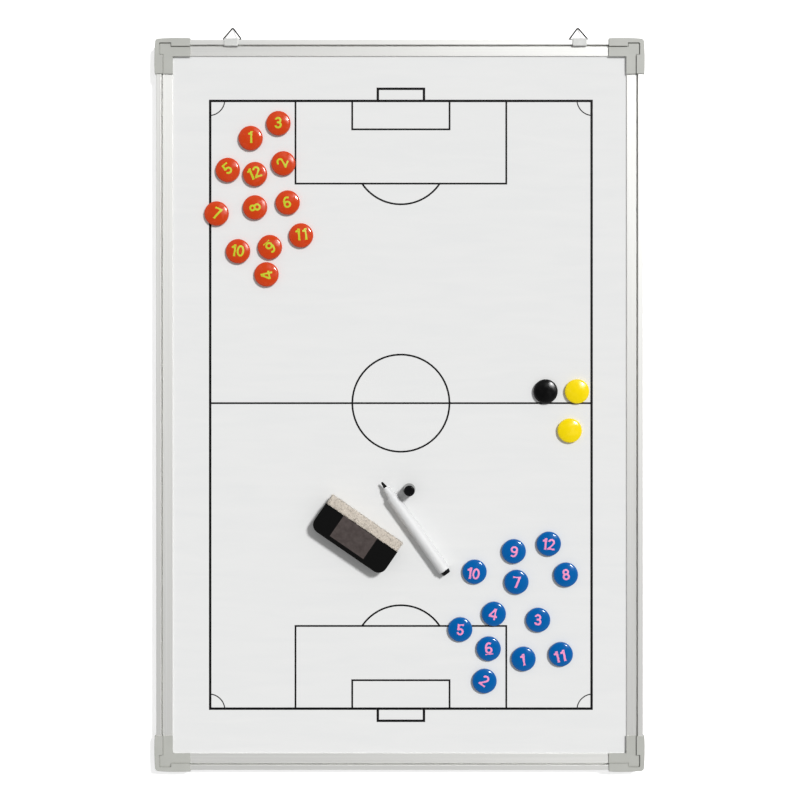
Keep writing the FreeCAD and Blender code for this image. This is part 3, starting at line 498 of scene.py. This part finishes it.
def bar(start, end):
    """A straight stroke with square ends."""
    start, end = Vector(start), Vector(end)
    along = (end - start).normalized()
    side = Vector((-along.y, along.x)) * STROKE / 2
    return [start - side, end - side, end + side, start + side]


def blade(*corners):
    """A stroke that changes in width, by its corners."""
    return [Vector(corner) for corner in corners]


def bow(middle, reach, start, end):
    """A round stroke along an oval, between two turns in degrees."""
    turns = [math.radians(start + (end - start) * i / BOW_STEPS) for i in range(BOW_STEPS + 1)]
    sides = []
    for out in (STROKE / 2, -STROKE / 2):
        wide, high = reach[0] + out, reach[1] + out
        places = [(middle[0] + wide * math.cos(t), middle[1] + high * math.sin(t)) for t in turns]
        sides.append([Vector(place) for place in places])
    return sides[0] + sides[1][::-1]


def oval(middle, reach):
    """A closed round stroke, in two halves."""
    return [bow(middle, reach, -90, 90), bow(middle, reach, 90, 270)]


SIX = oval((0.32, 0.315), (0.225, 0.22)) + [bow((0.36, 0.5), (0.265, 0.405), 52, 196)]
FIGURES = {
    "0": oval((0.32, 0.5), (0.225, 0.405)),
    "1": [
        blade((0.17, 0), (0.37, 0), (0.37, 1), (0.17, 1)),
        blade((0, 0.69), (0.27, 0.69), (0.27, 1), (0.2, 1), (0.13, 0.88), (0, 0.83)),
    ],
    "2": [
        bow((0.315, 0.69), (0.215, 0.215), -42, 172),
        bar((0.49, 0.575), (0.1, 0.1)),
        bar((0.02, 0.09), (0.63, 0.09)),
    ],
    "3": [
        bow((0.3, 0.7125), (0.195, 0.1925), -90, 168),
        bow((0.3, 0.3075), (0.22, 0.2125), -170, 90),
        bar((0.2, 0.52), (0.31, 0.52)),
    ],
    "4": [
        bar((0.49, 0), (0.49, 1)),
        bar((0, 0.3), (0.68, 0.3)),
        blade((0, 0.3), (0, 0.42), (0.38, 1), (0.5, 1), (0.5, 0.86), (0.19, 0.38)),
    ],
    "5": [
        bar((0.1, 0.91), (0.6, 0.91)),
        blade((0.09, 0.95), (0.26, 0.95), (0.22, 0.56), (0.04, 0.46)),
        bow((0.3, 0.325), (0.22, 0.23), -170, 145),
    ],
    "6": SIX,
    "7": [
        bar((0, 0.91), (0.62, 0.91)),
        blade((0.42, 0.85), (0.62, 0.85), (0.345, 0), (0.135, 0)),
    ],
    "8": oval((0.315, 0.7175), (0.195, 0.1875)) + oval((0.315, 0.3125), (0.22, 0.2175)),
    "9": [[Vector((FIGURE_WIDTH - p.x, 1 - p.y)) for p in stroke] for stroke in SIX],
}
# how far each number from 1 to 12 is turned to the left, in degrees
NUMBER_TURNS = {
    "red": (-2, 69, 0, 103, 40, -137.5, -24, 102, 192, -6, 5, 22),
    "blue": (7, -36, -2, -11, -2, 6, -3, 6, -8, -8, 13, -6),
}
# how far each number was printed off the middle of its cap, to the right and up, in millimetres
NUMBER_SHIFTS = {
    "red": ((0, 0.7), (-1.2, 0.5), (0.3, 0), (0.7, -1.5), (-0.2, 1.1), (1.1, -0.7),
            (1.1, -0.2), (0.3, -0.4), (-0.6, 0), (0.3, 0.4), (0.6, 1.0), (-0.4, 1.1)),
    "blue": ((-1.2, -0.6), (-0.2, 1.0), (-0.3, 0.7), (-0.8, 0.2), (0.1, 0.2), (-0.3, 1.4),
             (0.3, 0.3), (-0.1, 0.5), (0.1, -0.2), (-1.4, -1.8), (-1.3, -2.0), (-0.3, -0.3)),
}
NUMBER_COLOURS = {"red": "#cbd526", "blue": "#ff9ccd"}


def number_strokes(number):
    """The strokes of a number, centred on the origin, in shares of its height."""
    strokes = []
    right = 0
    gap = GAP_IN_ELEVEN if number == 11 else FIGURE_GAP
    for figure in str(number):
        strokes += [[p + Vector((right, -0.5)) for p in stroke] for stroke in FIGURES[figure]]
        right += ODD_WIDTHS.get(figure, FIGURE_WIDTH) + gap
    if number == 6:
        strokes.append(blade(
            (0, UNDERLINE_LOW), (FIGURE_WIDTH, UNDERLINE_LOW),
            (FIGURE_WIDTH, UNDERLINE_HIGH), (0, UNDERLINE_HIGH),
        ))
    middle = (right - gap) / 2
    return [[Vector(((p.x - middle) * NUMBER_STRETCH, p.y)) for p in stroke] for stroke in strokes]


def number_mesh(name, number, height, turn, shift, middle, top):
    """A number cut to its outline, laid on the dome and given the thickness of its ink."""
    spin = Matrix.Rotation(math.radians(turn), 2)
    points = []
    outlines = []
    for stroke in number_strokes(number):
        area = sum(a.cross(b) for a, b in zip(stroke, stroke[1:] + stroke[:1]))
        ordered = stroke if area > 0 else stroke[::-1]
        outlines.append(list(range(len(points), len(points) + len(ordered))))
        points += [spin @ p * height + Vector(shift) * MM for p in ordered]
    count = math.ceil(max(p.length for p in points) / INK_PITCH)
    steps = range(-count, count + 1)
    points += [Vector((i, j)) * INK_PITCH for i in steps for j in steps]
    places, _, faces, _, _, owners = delaunay_2d_cdt(points, [], outlines, 0, INK_MERGE)
    inked = [face for face, owner in zip(faces, owners) if owner]
    edges = {edge for face in inked for edge in zip(face, face[1:] + face[:1])}
    mesh = bmesh.new()
    lower, upper = {}, {}
    for i in sorted({i for face in inked for i in face}):
        x, y = places[i]
        rise = math.sqrt(DOME_RADIUS ** 2 - x ** 2 - y ** 2)
        foot = Vector((middle.x + x, middle.y + y, top + rise - DOME_RADIUS))
        lower[i] = mesh.verts.new(foot)
        upper[i] = mesh.verts.new(foot + Vector((x, y, rise)) * INK_FILM / DOME_RADIUS)
    for face in inked:
        mesh.faces.new([upper[i] for i in face])
        mesh.faces.new([lower[i] for i in reversed(face)])
        for a, b in zip(face, face[1:] + face[:1]):
            if (b, a) not in edges:
                mesh.faces.new([lower[a], lower[b], upper[b], upper[a]])
    data = bpy.data.meshes.new(name)
    mesh.to_mesh(data)
    mesh.free()
    return data


def pad_ink(colour, text):
    """Pad printing ink: strong flat colour, slightly satin, thin enough for a hint of mottle."""
    material, tree, shader, place = new_finish("pad_ink_on_" + colour, {"Roughness": 0.4})
    mottle = add(tree, "ShaderNodeTexNoise", {"Vector": place, "Scale": 1 / (1.2 * MM), "Detail": 2.0})
    shade = add(tree, "ShaderNodeHueSaturation", {"Value": 0.88, "Color": linear(text)})
    tone = add(tree, "ShaderNodeMix", {
        "Factor": mottle.outputs["Fac"],
        FIRST_COLOUR: shade.outputs["Color"], SECOND_COLOUR: linear(text),
    }, data_type="RGBA")
    join(tree, shader, {"Base Color": tone.outputs[MIXED_COLOUR]})
    return material


for colour, turns in NUMBER_TURNS.items():
    number_finish = pad_ink(colour, NUMBER_COLOURS[colour])
    for number, (turn, shift) in enumerate(zip(turns, NUMBER_SHIFTS[colour]), start=1):
        node = f"{colour}_magnet_{number:02d}"
        low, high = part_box(node)
        height = NUMBER_HEIGHTS[colour]
        data = number_mesh(node + "_number", number, height, turn, shift, (low + high) / 2, high.z)
        data.materials.append(number_finish)
        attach(put(node + "_number", data), node)


# Marker pen: an extruded white barrel with a moulded nose, a fibre nib and a black end plug.
# The nose and plug are pressed into the barrel, which holds the ink reservoir.
def white_polypropylene():
    """Polypropylene: white, waxy, with a faint flow mark and handling scuffs."""
    material, tree, shader, place = new_finish("white_polypropylene", {"IOR": 1.49})
    flow = add(tree, "ShaderNodeTexNoise", {
        "Vector": place, "Scale": 1 / (7 * MM), "Detail": 4.0, "Distortion": 0.5,
    })
    tone = add(tree, "ShaderNodeMix", {
        "Factor": flow.outputs["Fac"],
        FIRST_COLOUR: linear("#dcdddd"), SECOND_COLOUR: linear("#e6e6e6"),
    }, data_type="RGBA")
    gloss = add(tree, "ShaderNodeMapRange", {
        "Value": flow.outputs["Fac"], "To Min": 0.42, "To Max": 0.58,
    })
    join(tree, shader, {"Base Color": tone.outputs[MIXED_COLOUR], "Roughness": gloss.outputs["Result"]})
    return material


def black_polypropylene():
    """Polypropylene: black, with a soft sheen and fine moulded grain."""
    material, tree, shader, place = new_finish("black_polypropylene", {
        "IOR": 1.49, "Specular IOR Level": 0.12,
    })
    grain = add(tree, "ShaderNodeTexNoise", {"Vector": place, "Scale": 1 / (0.6 * MM), "Detail": 3.0})
    tone = add(tree, "ShaderNodeMix", {
        "Factor": grain.outputs["Fac"],
        FIRST_COLOUR: linear("#0e0e0f"), SECOND_COLOUR: linear("#18181a"),
    }, data_type="RGBA")
    gloss = add(tree, "ShaderNodeMapRange", {
        "Value": grain.outputs["Fac"], "To Min": 0.14, "To Max": 0.24,
    })
    join(tree, shader, {"Base Color": tone.outputs[MIXED_COLOUR], "Roughness": gloss.outputs["Result"]})
    return material


def inked_fibre():
    """Bonded polyester fibre soaked in ink: black and dull, with fine matted strands."""
    material, tree, shader, place = new_finish("inked_fibre", {
        "Roughness": 0.75, "Specular IOR Level": 0.15,
    })
    strands = add(tree, "ShaderNodeTexNoise", {"Vector": place, "Scale": 1 / (0.3 * MM), "Detail": 2.0})
    tone = add(tree, "ShaderNodeMix", {
        "Factor": strands.outputs["Fac"],
        FIRST_COLOUR: linear("#050505"), SECOND_COLOUR: linear("#101011"),
    }, data_type="RGBA")
    pile = add(tree, "ShaderNodeBump", {
        "Height": strands.outputs["Fac"], "Strength": 0.6, "Distance": 0.1 * MM,
    })
    join(tree, shader, {"Base Color": tone.outputs[MIXED_COLOUR], "Normal": pile.outputs["Normal"]})
    return material


white_pen_finish = white_polypropylene()
black_pen_finish = black_polypropylene()
fibre_finish = inked_fibre()
dress("pen_barrel", white_pen_finish)
dress("pen_nose", white_pen_finish)
dress("pen_nib", fibre_finish)
dress("pen_reservoir", fibre_finish)
dress("pen_end_plug", black_pen_finish)

# Pen cap: a moulded black cup, taken off the pen and standing on its open end.
# Its closed end has a shallow dimple where the plastic was let in.
dress("pen_cap", black_pen_finish)


# Eraser: a hollow black moulding held in the hand, lying on its long side, with a plate on that side.
# The felt pad glued to its wiping face is beige and a little fuzzy.
ERASER_TURN = math.radians(-34.5)
FELT_ROUND = 1.4 * MM
FELT_ROUND_STEPS = 3
FELT_PITCH = 2.4 * MM
FELT_SINK = 0.2 * MM
LUMP_DEPTH = 0.18 * MM
LUMP_SIZE = 5 * MM
CRUMB_SIZE = 1.7 * MM
CRUMB_SHARE = 0.6


def black_abs():
    """Moulded ABS: black, with a leathery fine grain and dull handling marks."""
    material, tree, shader, place = new_finish("black_abs", {"IOR": 1.5, "Specular IOR Level": 0.12})
    grain = add(tree, "ShaderNodeTexNoise", {"Vector": place, "Scale": 1 / (0.9 * MM), "Detail": 3.0})
    tone = add(tree, "ShaderNodeMix", {
        "Factor": grain.outputs["Fac"],
        FIRST_COLOUR: linear("#060606"), SECOND_COLOUR: linear("#0d0d0d"),
    }, data_type="RGBA")
    gloss = add(tree, "ShaderNodeMapRange", {
        "Value": grain.outputs["Fac"], "To Min": 0.36, "To Max": 0.52,
    })
    pits = add(tree, "ShaderNodeBump", {
        "Height": grain.outputs["Fac"], "Strength": 0.25, "Distance": 0.06 * MM,
    })
    join(tree, shader, {
        "Base Color": tone.outputs[MIXED_COLOUR],
        "Roughness": gloss.outputs["Result"],
        "Normal": pits.outputs["Normal"],
    })
    return material


def dark_printed_plate():
    """A printed plastic plate: warm dark grey, matt, with cloudy ink."""
    material, tree, shader, place = new_finish("dark_printed_plate", {
        "Roughness": 0.55, "Specular IOR Level": 0.2,
    })
    cloud = add(tree, "ShaderNodeTexNoise", {"Vector": place, "Scale": 1 / (5 * MM), "Detail": 4.0})
    tone = add(tree, "ShaderNodeMix", {
        "Factor": cloud.outputs["Fac"],
        FIRST_COLOUR: linear("#352c2a"), SECOND_COLOUR: linear("#5c5351"),
    }, data_type="RGBA")
    join(tree, shader, {"Base Color": tone.outputs[MIXED_COLOUR]})
    return material


def wool_felt():
    """Pressed wool felt: beige, matt, with matted strands of lighter and darker hair."""
    material, tree, shader, place = new_finish("wool_felt", {
        "Roughness": 0.95, "Sheen Weight": 0.3, "Sheen Roughness": 0.6,
    })
    hair = add(tree, "ShaderNodeTexNoise", {
        "Vector": place, "Scale": 1 / (1.1 * MM), "Detail": 5.0, "Roughness": 0.7, "Distortion": 1.2,
    })
    tone = add(tree, "ShaderNodeMix", {
        "Factor": hair.outputs["Fac"],
        FIRST_COLOUR: linear("#b3a899"), SECOND_COLOUR: linear("#efe6da"),
    }, data_type="RGBA")
    matting = add(tree, "ShaderNodeBump", {
        "Height": hair.outputs["Fac"], "Strength": 0.8, "Distance": 0.3 * MM,
    })
    join(tree, shader, {"Base Color": tone.outputs[MIXED_COLOUR], "Normal": matting.outputs["Normal"]})
    return material


def felt_stops(size):
    """Places along one side of the pad, closer together in the round of its edges."""
    flat = size / 2 - FELT_ROUND
    count = math.ceil(2 * flat / FELT_PITCH)
    middle = [flat * (2 * i / count - 1) for i in range(count + 1)]
    edge = [flat + FELT_ROUND * i / FELT_ROUND_STEPS for i in range(1, FELT_ROUND_STEPS + 1)]
    return [-stop for stop in reversed(edge)] + middle + edge


def felt_pad():
    """A soft-edged, lumpy pad that fills its node's space, from the node's box and the eraser's turn."""
    low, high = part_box("eraser_felt")
    span = high - low
    cos, sin = math.cos(ERASER_TURN), abs(math.sin(ERASER_TURN))
    length = (span.x * cos - span.y * sin) / (cos ** 2 - sin ** 2)
    thickness = (span.y * cos - span.x * sin) / (cos ** 2 - sin ** 2)
    stops = [felt_stops(size) for size in (length, thickness, span.z)]
    ends = [len(side) - 1 for side in stops]
    mesh = bmesh.new()
    skin = {}
    for place in product(*(range(len(side)) for side in stops)):
        if not any(i in (0, end) for i, end in zip(place, ends)):
            continue
        corner = Vector([side[i] for side, i in zip(stops, place)])
        core = Vector([
            max(side[0] + FELT_ROUND, min(reach, side[-1] - FELT_ROUND))
            for side, reach in zip(stops, corner)
        ])
        out = (corner - core).normalized()
        point = core + out * FELT_ROUND
        lump = noise.noise(point / LUMP_SIZE) + CRUMB_SHARE * noise.noise(point / CRUMB_SIZE)
        skin[place] = mesh.verts.new(point - out * (FELT_SINK + LUMP_DEPTH * lump))
    # a square is counted from the axis that it faces along, then turned round to start with x
    for axis in range(3):
        for face, i, j in product((0, ends[axis]), range(ends[axis - 2]), range(ends[axis - 1])):
            square = [(face, i, j), (face, i + 1, j), (face, i + 1, j + 1), (face, i, j + 1)]
            corners = [skin[place[3 - axis:] + place[:3 - axis]] for place in square]
            mesh.faces.new(corners if face else corners[::-1]).smooth = True
    data = bpy.data.meshes.new("felt_pad")
    mesh.to_mesh(data)
    mesh.free()
    seat = Matrix.Translation((low + high) / 2) @ Matrix.Rotation(ERASER_TURN, 4, "Z")
    data.transform(seat)
    return data


# A wool hair is 0.03 mm thick, so tufts of many hairs are drawn instead.
HAIR_DENSITY = 0.3 / MM ** 2
HAIR_LENGTH = 2.8 * MM
HAIR_RADIUS = 0.2 * MM
HAIR_SEED = 4
# the places of a hair's crest and tip, in shares of its length
HAIR_CREST = (0.5, 0.25, 0.2)
HAIR_TIP = (1, -0.1, 0)
# where a random value keeps its upper limit among its inputs, and itself among its outputs
RANDOM_LIMIT, RANDOM_VALUE = 3, 1


def felt_hair():
    """Tufts of hair on the felt: each its own tone between grey beige and cream."""
    material, tree, shader, _ = new_finish("felt_hair", {"Roughness": 0.9, "Sheen Weight": 0.2})
    each = add(tree, "ShaderNodeNewGeometry", {})
    tone = add(tree, "ShaderNodeMix", {
        "Factor": each.outputs["Random Per Island"],
        FIRST_COLOUR: linear("#8d8275"), SECOND_COLOUR: linear("#fdf5ea"),
    }, data_type="RGBA")
    join(tree, shader, {"Base Color": tone.outputs[MIXED_COLOUR]})
    return material


def hair_tree():
    """Short curled hairs laid all over a surface, each turned its own way on it."""
    tree = bpy.data.node_groups.new("loose_hair", "GeometryNodeTree")
    tree.interface.new_socket("Geometry", in_out="INPUT", socket_type="NodeSocketGeometry")
    kinds = {"Density": "Float", "Length": "Float", "Radius": "Float", "Seed": "Int", "Finish": "Material"}
    for name, kind in kinds.items():
        tree.interface.new_socket(name, in_out="INPUT", socket_type="NodeSocket" + kind)
    tree.interface.new_socket("Geometry", in_out="OUTPUT", socket_type="NodeSocketGeometry")
    given = add(tree, "NodeGroupInput", {}).outputs
    roots = add(tree, "GeometryNodeDistributePointsOnFaces", {
        "Mesh": given["Geometry"], "Density": given["Density"], "Seed": given["Seed"],
    })
    crest = add(tree, "ShaderNodeVectorMath", {
        "Vector": HAIR_CREST, "Scale": given["Length"],
    }, operation="SCALE")
    tip = add(tree, "ShaderNodeVectorMath", {
        "Vector": HAIR_TIP, "Scale": given["Length"],
    }, operation="SCALE")
    curl = add(tree, "GeometryNodeCurveQuadraticBezier", {
        "Resolution": 4, "Start": (0, 0, 0),
        "Middle": crest.outputs["Vector"], "End": tip.outputs["Vector"],
    })
    section = add(tree, "GeometryNodeCurvePrimitiveCircle", {
        "Resolution": 3, "Radius": given["Radius"],
    })
    hair = add(tree, "GeometryNodeCurveToMesh", {
        "Curve": curl.outputs["Curve"], "Profile Curve": section.outputs["Curve"], "Fill Caps": True,
    })
    turn = add(tree, "FunctionNodeRandomValue", {
        RANDOM_LIMIT: 2 * math.pi, "Seed": given["Seed"],
    }, data_type="FLOAT")
    spin = add(tree, "FunctionNodeAxisAngleToRotation", {
        "Axis": (0, 0, 1), "Angle": turn.outputs[RANDOM_VALUE],
    })
    lie = add(tree, "FunctionNodeRotateRotation", {
        "Rotation": roots.outputs["Rotation"], "Rotate By": spin.outputs["Rotation"],
    }, rotation_space="LOCAL")
    hairs = add(tree, "GeometryNodeInstanceOnPoints", {
        "Points": roots.outputs["Points"],
        "Instance": hair.outputs["Mesh"],
        "Rotation": lie.outputs["Rotation"],
    })
    real = add(tree, "GeometryNodeRealizeInstances", {"Geometry": hairs.outputs["Instances"]})
    dressed = add(tree, "GeometryNodeSetMaterial", {
        "Geometry": real.outputs["Geometry"], "Material": given["Finish"],
    })
    add(tree, "NodeGroupOutput", {"Geometry": dressed.outputs["Geometry"]})
    return tree


def grown(name, surface, tree, sizes):
    """A plain mesh of what a node tree makes on a surface, with the tree's inputs set by name."""
    carrier = put(name + "_carrier", surface)
    modifier = carrier.modifiers.new(name, "NODES")
    modifier.node_group = tree
    for socket in tree.interface.items_tree:
        if socket.name in sizes:
            modifier[socket.identifier] = sizes[socket.name]
    depsgraph = bpy.context.evaluated_depsgraph_get()
    data = bpy.data.meshes.new_from_object(carrier.evaluated_get(depsgraph))
    bpy.data.objects.remove(carrier)
    data.name = name
    return data


dress("eraser_body", black_abs())
dress("eraser_label", dark_printed_plate())
felt_data = felt_pad()
felt_data.materials.append(wool_felt())
felt = put("felt_pad", felt_data)
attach(felt, "eraser")
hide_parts("eraser_felt")

hairs = put("felt_hairs", grown("felt_hairs", felt_data, hair_tree(), {
    "Density": HAIR_DENSITY,
    "Length": HAIR_LENGTH,
    "Radius": HAIR_RADIUS,
    "Seed": HAIR_SEED,
    "Finish": felt_hair(),
}))
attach(hairs, "eraser")


# Studio: a pale floor under the board, one soft lamp high at the upper right and even light all round.
# The camera looks straight down on the board from its middle.
CAMERA_HEIGHT = 1.75
RIM_HEIGHT = 18.6 * MM
VIEW_WIDTH = 985.6 * MM
VIEW_MIDDLE = (0.5 * MM, 5.9 * MM)
SENSOR = 36.0
LAMP_PLACE = (2.02, 1.91, 4.0)
LAMP_WIDTH = math.radians(9)
LAMP_STRENGTH = 2.45
FLOOR_HALF = 4.0
FLOOR_DROP = 0.5 * MM
FLOOR_GLOW_SEEN, FLOOR_GLOW_MIRRORED = 0.55, 0.1
# the light all round: on matt surfaces, in mirrored walls, in the mirrored ceiling and behind the board
AMBIENT, WALLS, CEILING, BACKDROP = 0.36, 0.5, 0.03, 1.0
WALLS_END, CEILING_START = 0.55, 0.95
WHITE = (1, 1, 1, 1)

camera_data = bpy.data.cameras.new("camera")
camera_data.sensor_width = SENSOR
camera_data.lens = SENSOR * (CAMERA_HEIGHT - RIM_HEIGHT) / VIEW_WIDTH
camera = put("camera", camera_data)
camera.location = (*VIEW_MIDDLE, CAMERA_HEIGHT)
bpy.context.scene.camera = camera

lamp_data = bpy.data.lights.new("far_lamp", "SUN")
lamp_data.angle = LAMP_WIDTH
lamp_data.energy = LAMP_STRENGTH
lamp = put("far_lamp", lamp_data)
lamp.location = LAMP_PLACE
lamp.rotation_euler = (-lamp.location).to_track_quat("-Z", "Y").to_euler()

floor_data = bpy.data.meshes.new("floor")
floor_corners = [(-FLOOR_HALF, -FLOOR_HALF), (FLOOR_HALF, -FLOOR_HALF),
                 (FLOOR_HALF, FLOOR_HALF), (-FLOOR_HALF, FLOOR_HALF)]
floor_data.from_pydata([(x, y, -FLOOR_DROP) for x, y in floor_corners], [], [(0, 1, 2, 3)])
floor = put("floor", floor_data)

floor_material, tree, shader, _ = new_finish("white_floor", {
    "Base Color": linear("#f2f2f2"), "Roughness": 0.9,
})
rays = add(tree, "ShaderNodeLightPath", {})
mirrored = add(tree, "ShaderNodeMath", {
    0: rays.outputs["Is Glossy Ray"], 1: rays.outputs["Is Transmission Ray"],
}, operation="MAXIMUM")
mirror_glow = add(tree, "ShaderNodeMapRange", {
    "Value": mirrored.outputs["Value"], "To Max": FLOOR_GLOW_MIRRORED,
})
camera_glow = add(tree, "ShaderNodeMapRange", {
    "Value": rays.outputs["Is Camera Ray"], "To Max": FLOOR_GLOW_SEEN,
})
glow = add(tree, "ShaderNodeMath", {
    0: mirror_glow.outputs["Result"], 1: camera_glow.outputs["Result"],
})
join(tree, shader, {"Emission Color": WHITE, "Emission Strength": glow.outputs["Value"]})
floor_data.materials.append(floor_material)

world = bpy.data.worlds.new("studio")
bpy.context.scene.world = world
world.use_nodes = True
tree = world.node_tree
background = tree.nodes["Background"]
sky = add(tree, "ShaderNodeTexCoord", {})
heading = add(tree, "ShaderNodeSeparateXYZ", {"Vector": sky.outputs["Generated"]})
walls = add(tree, "ShaderNodeMapRange", {
    "Value": heading.outputs["Z"],
    "From Min": WALLS_END, "From Max": CEILING_START, "To Min": WALLS, "To Max": CEILING,
}, interpolation_type="SMOOTHSTEP")
rays = add(tree, "ShaderNodeLightPath", {})
level = add(tree, "ShaderNodeMix", {
    "Factor": rays.outputs["Is Diffuse Ray"], "A": walls.outputs["Result"], "B": AMBIENT,
}, data_type="FLOAT")
backdrop = add(tree, "ShaderNodeMix", {
    "Factor": rays.outputs["Is Camera Ray"], "A": level.outputs["Result"], "B": BACKDROP,
}, data_type="FLOAT")
join(tree, background, {"Color": WHITE, "Strength": backdrop.outputs["Result"]})

bpy.context.scene.view_settings.view_transform = "Standard"
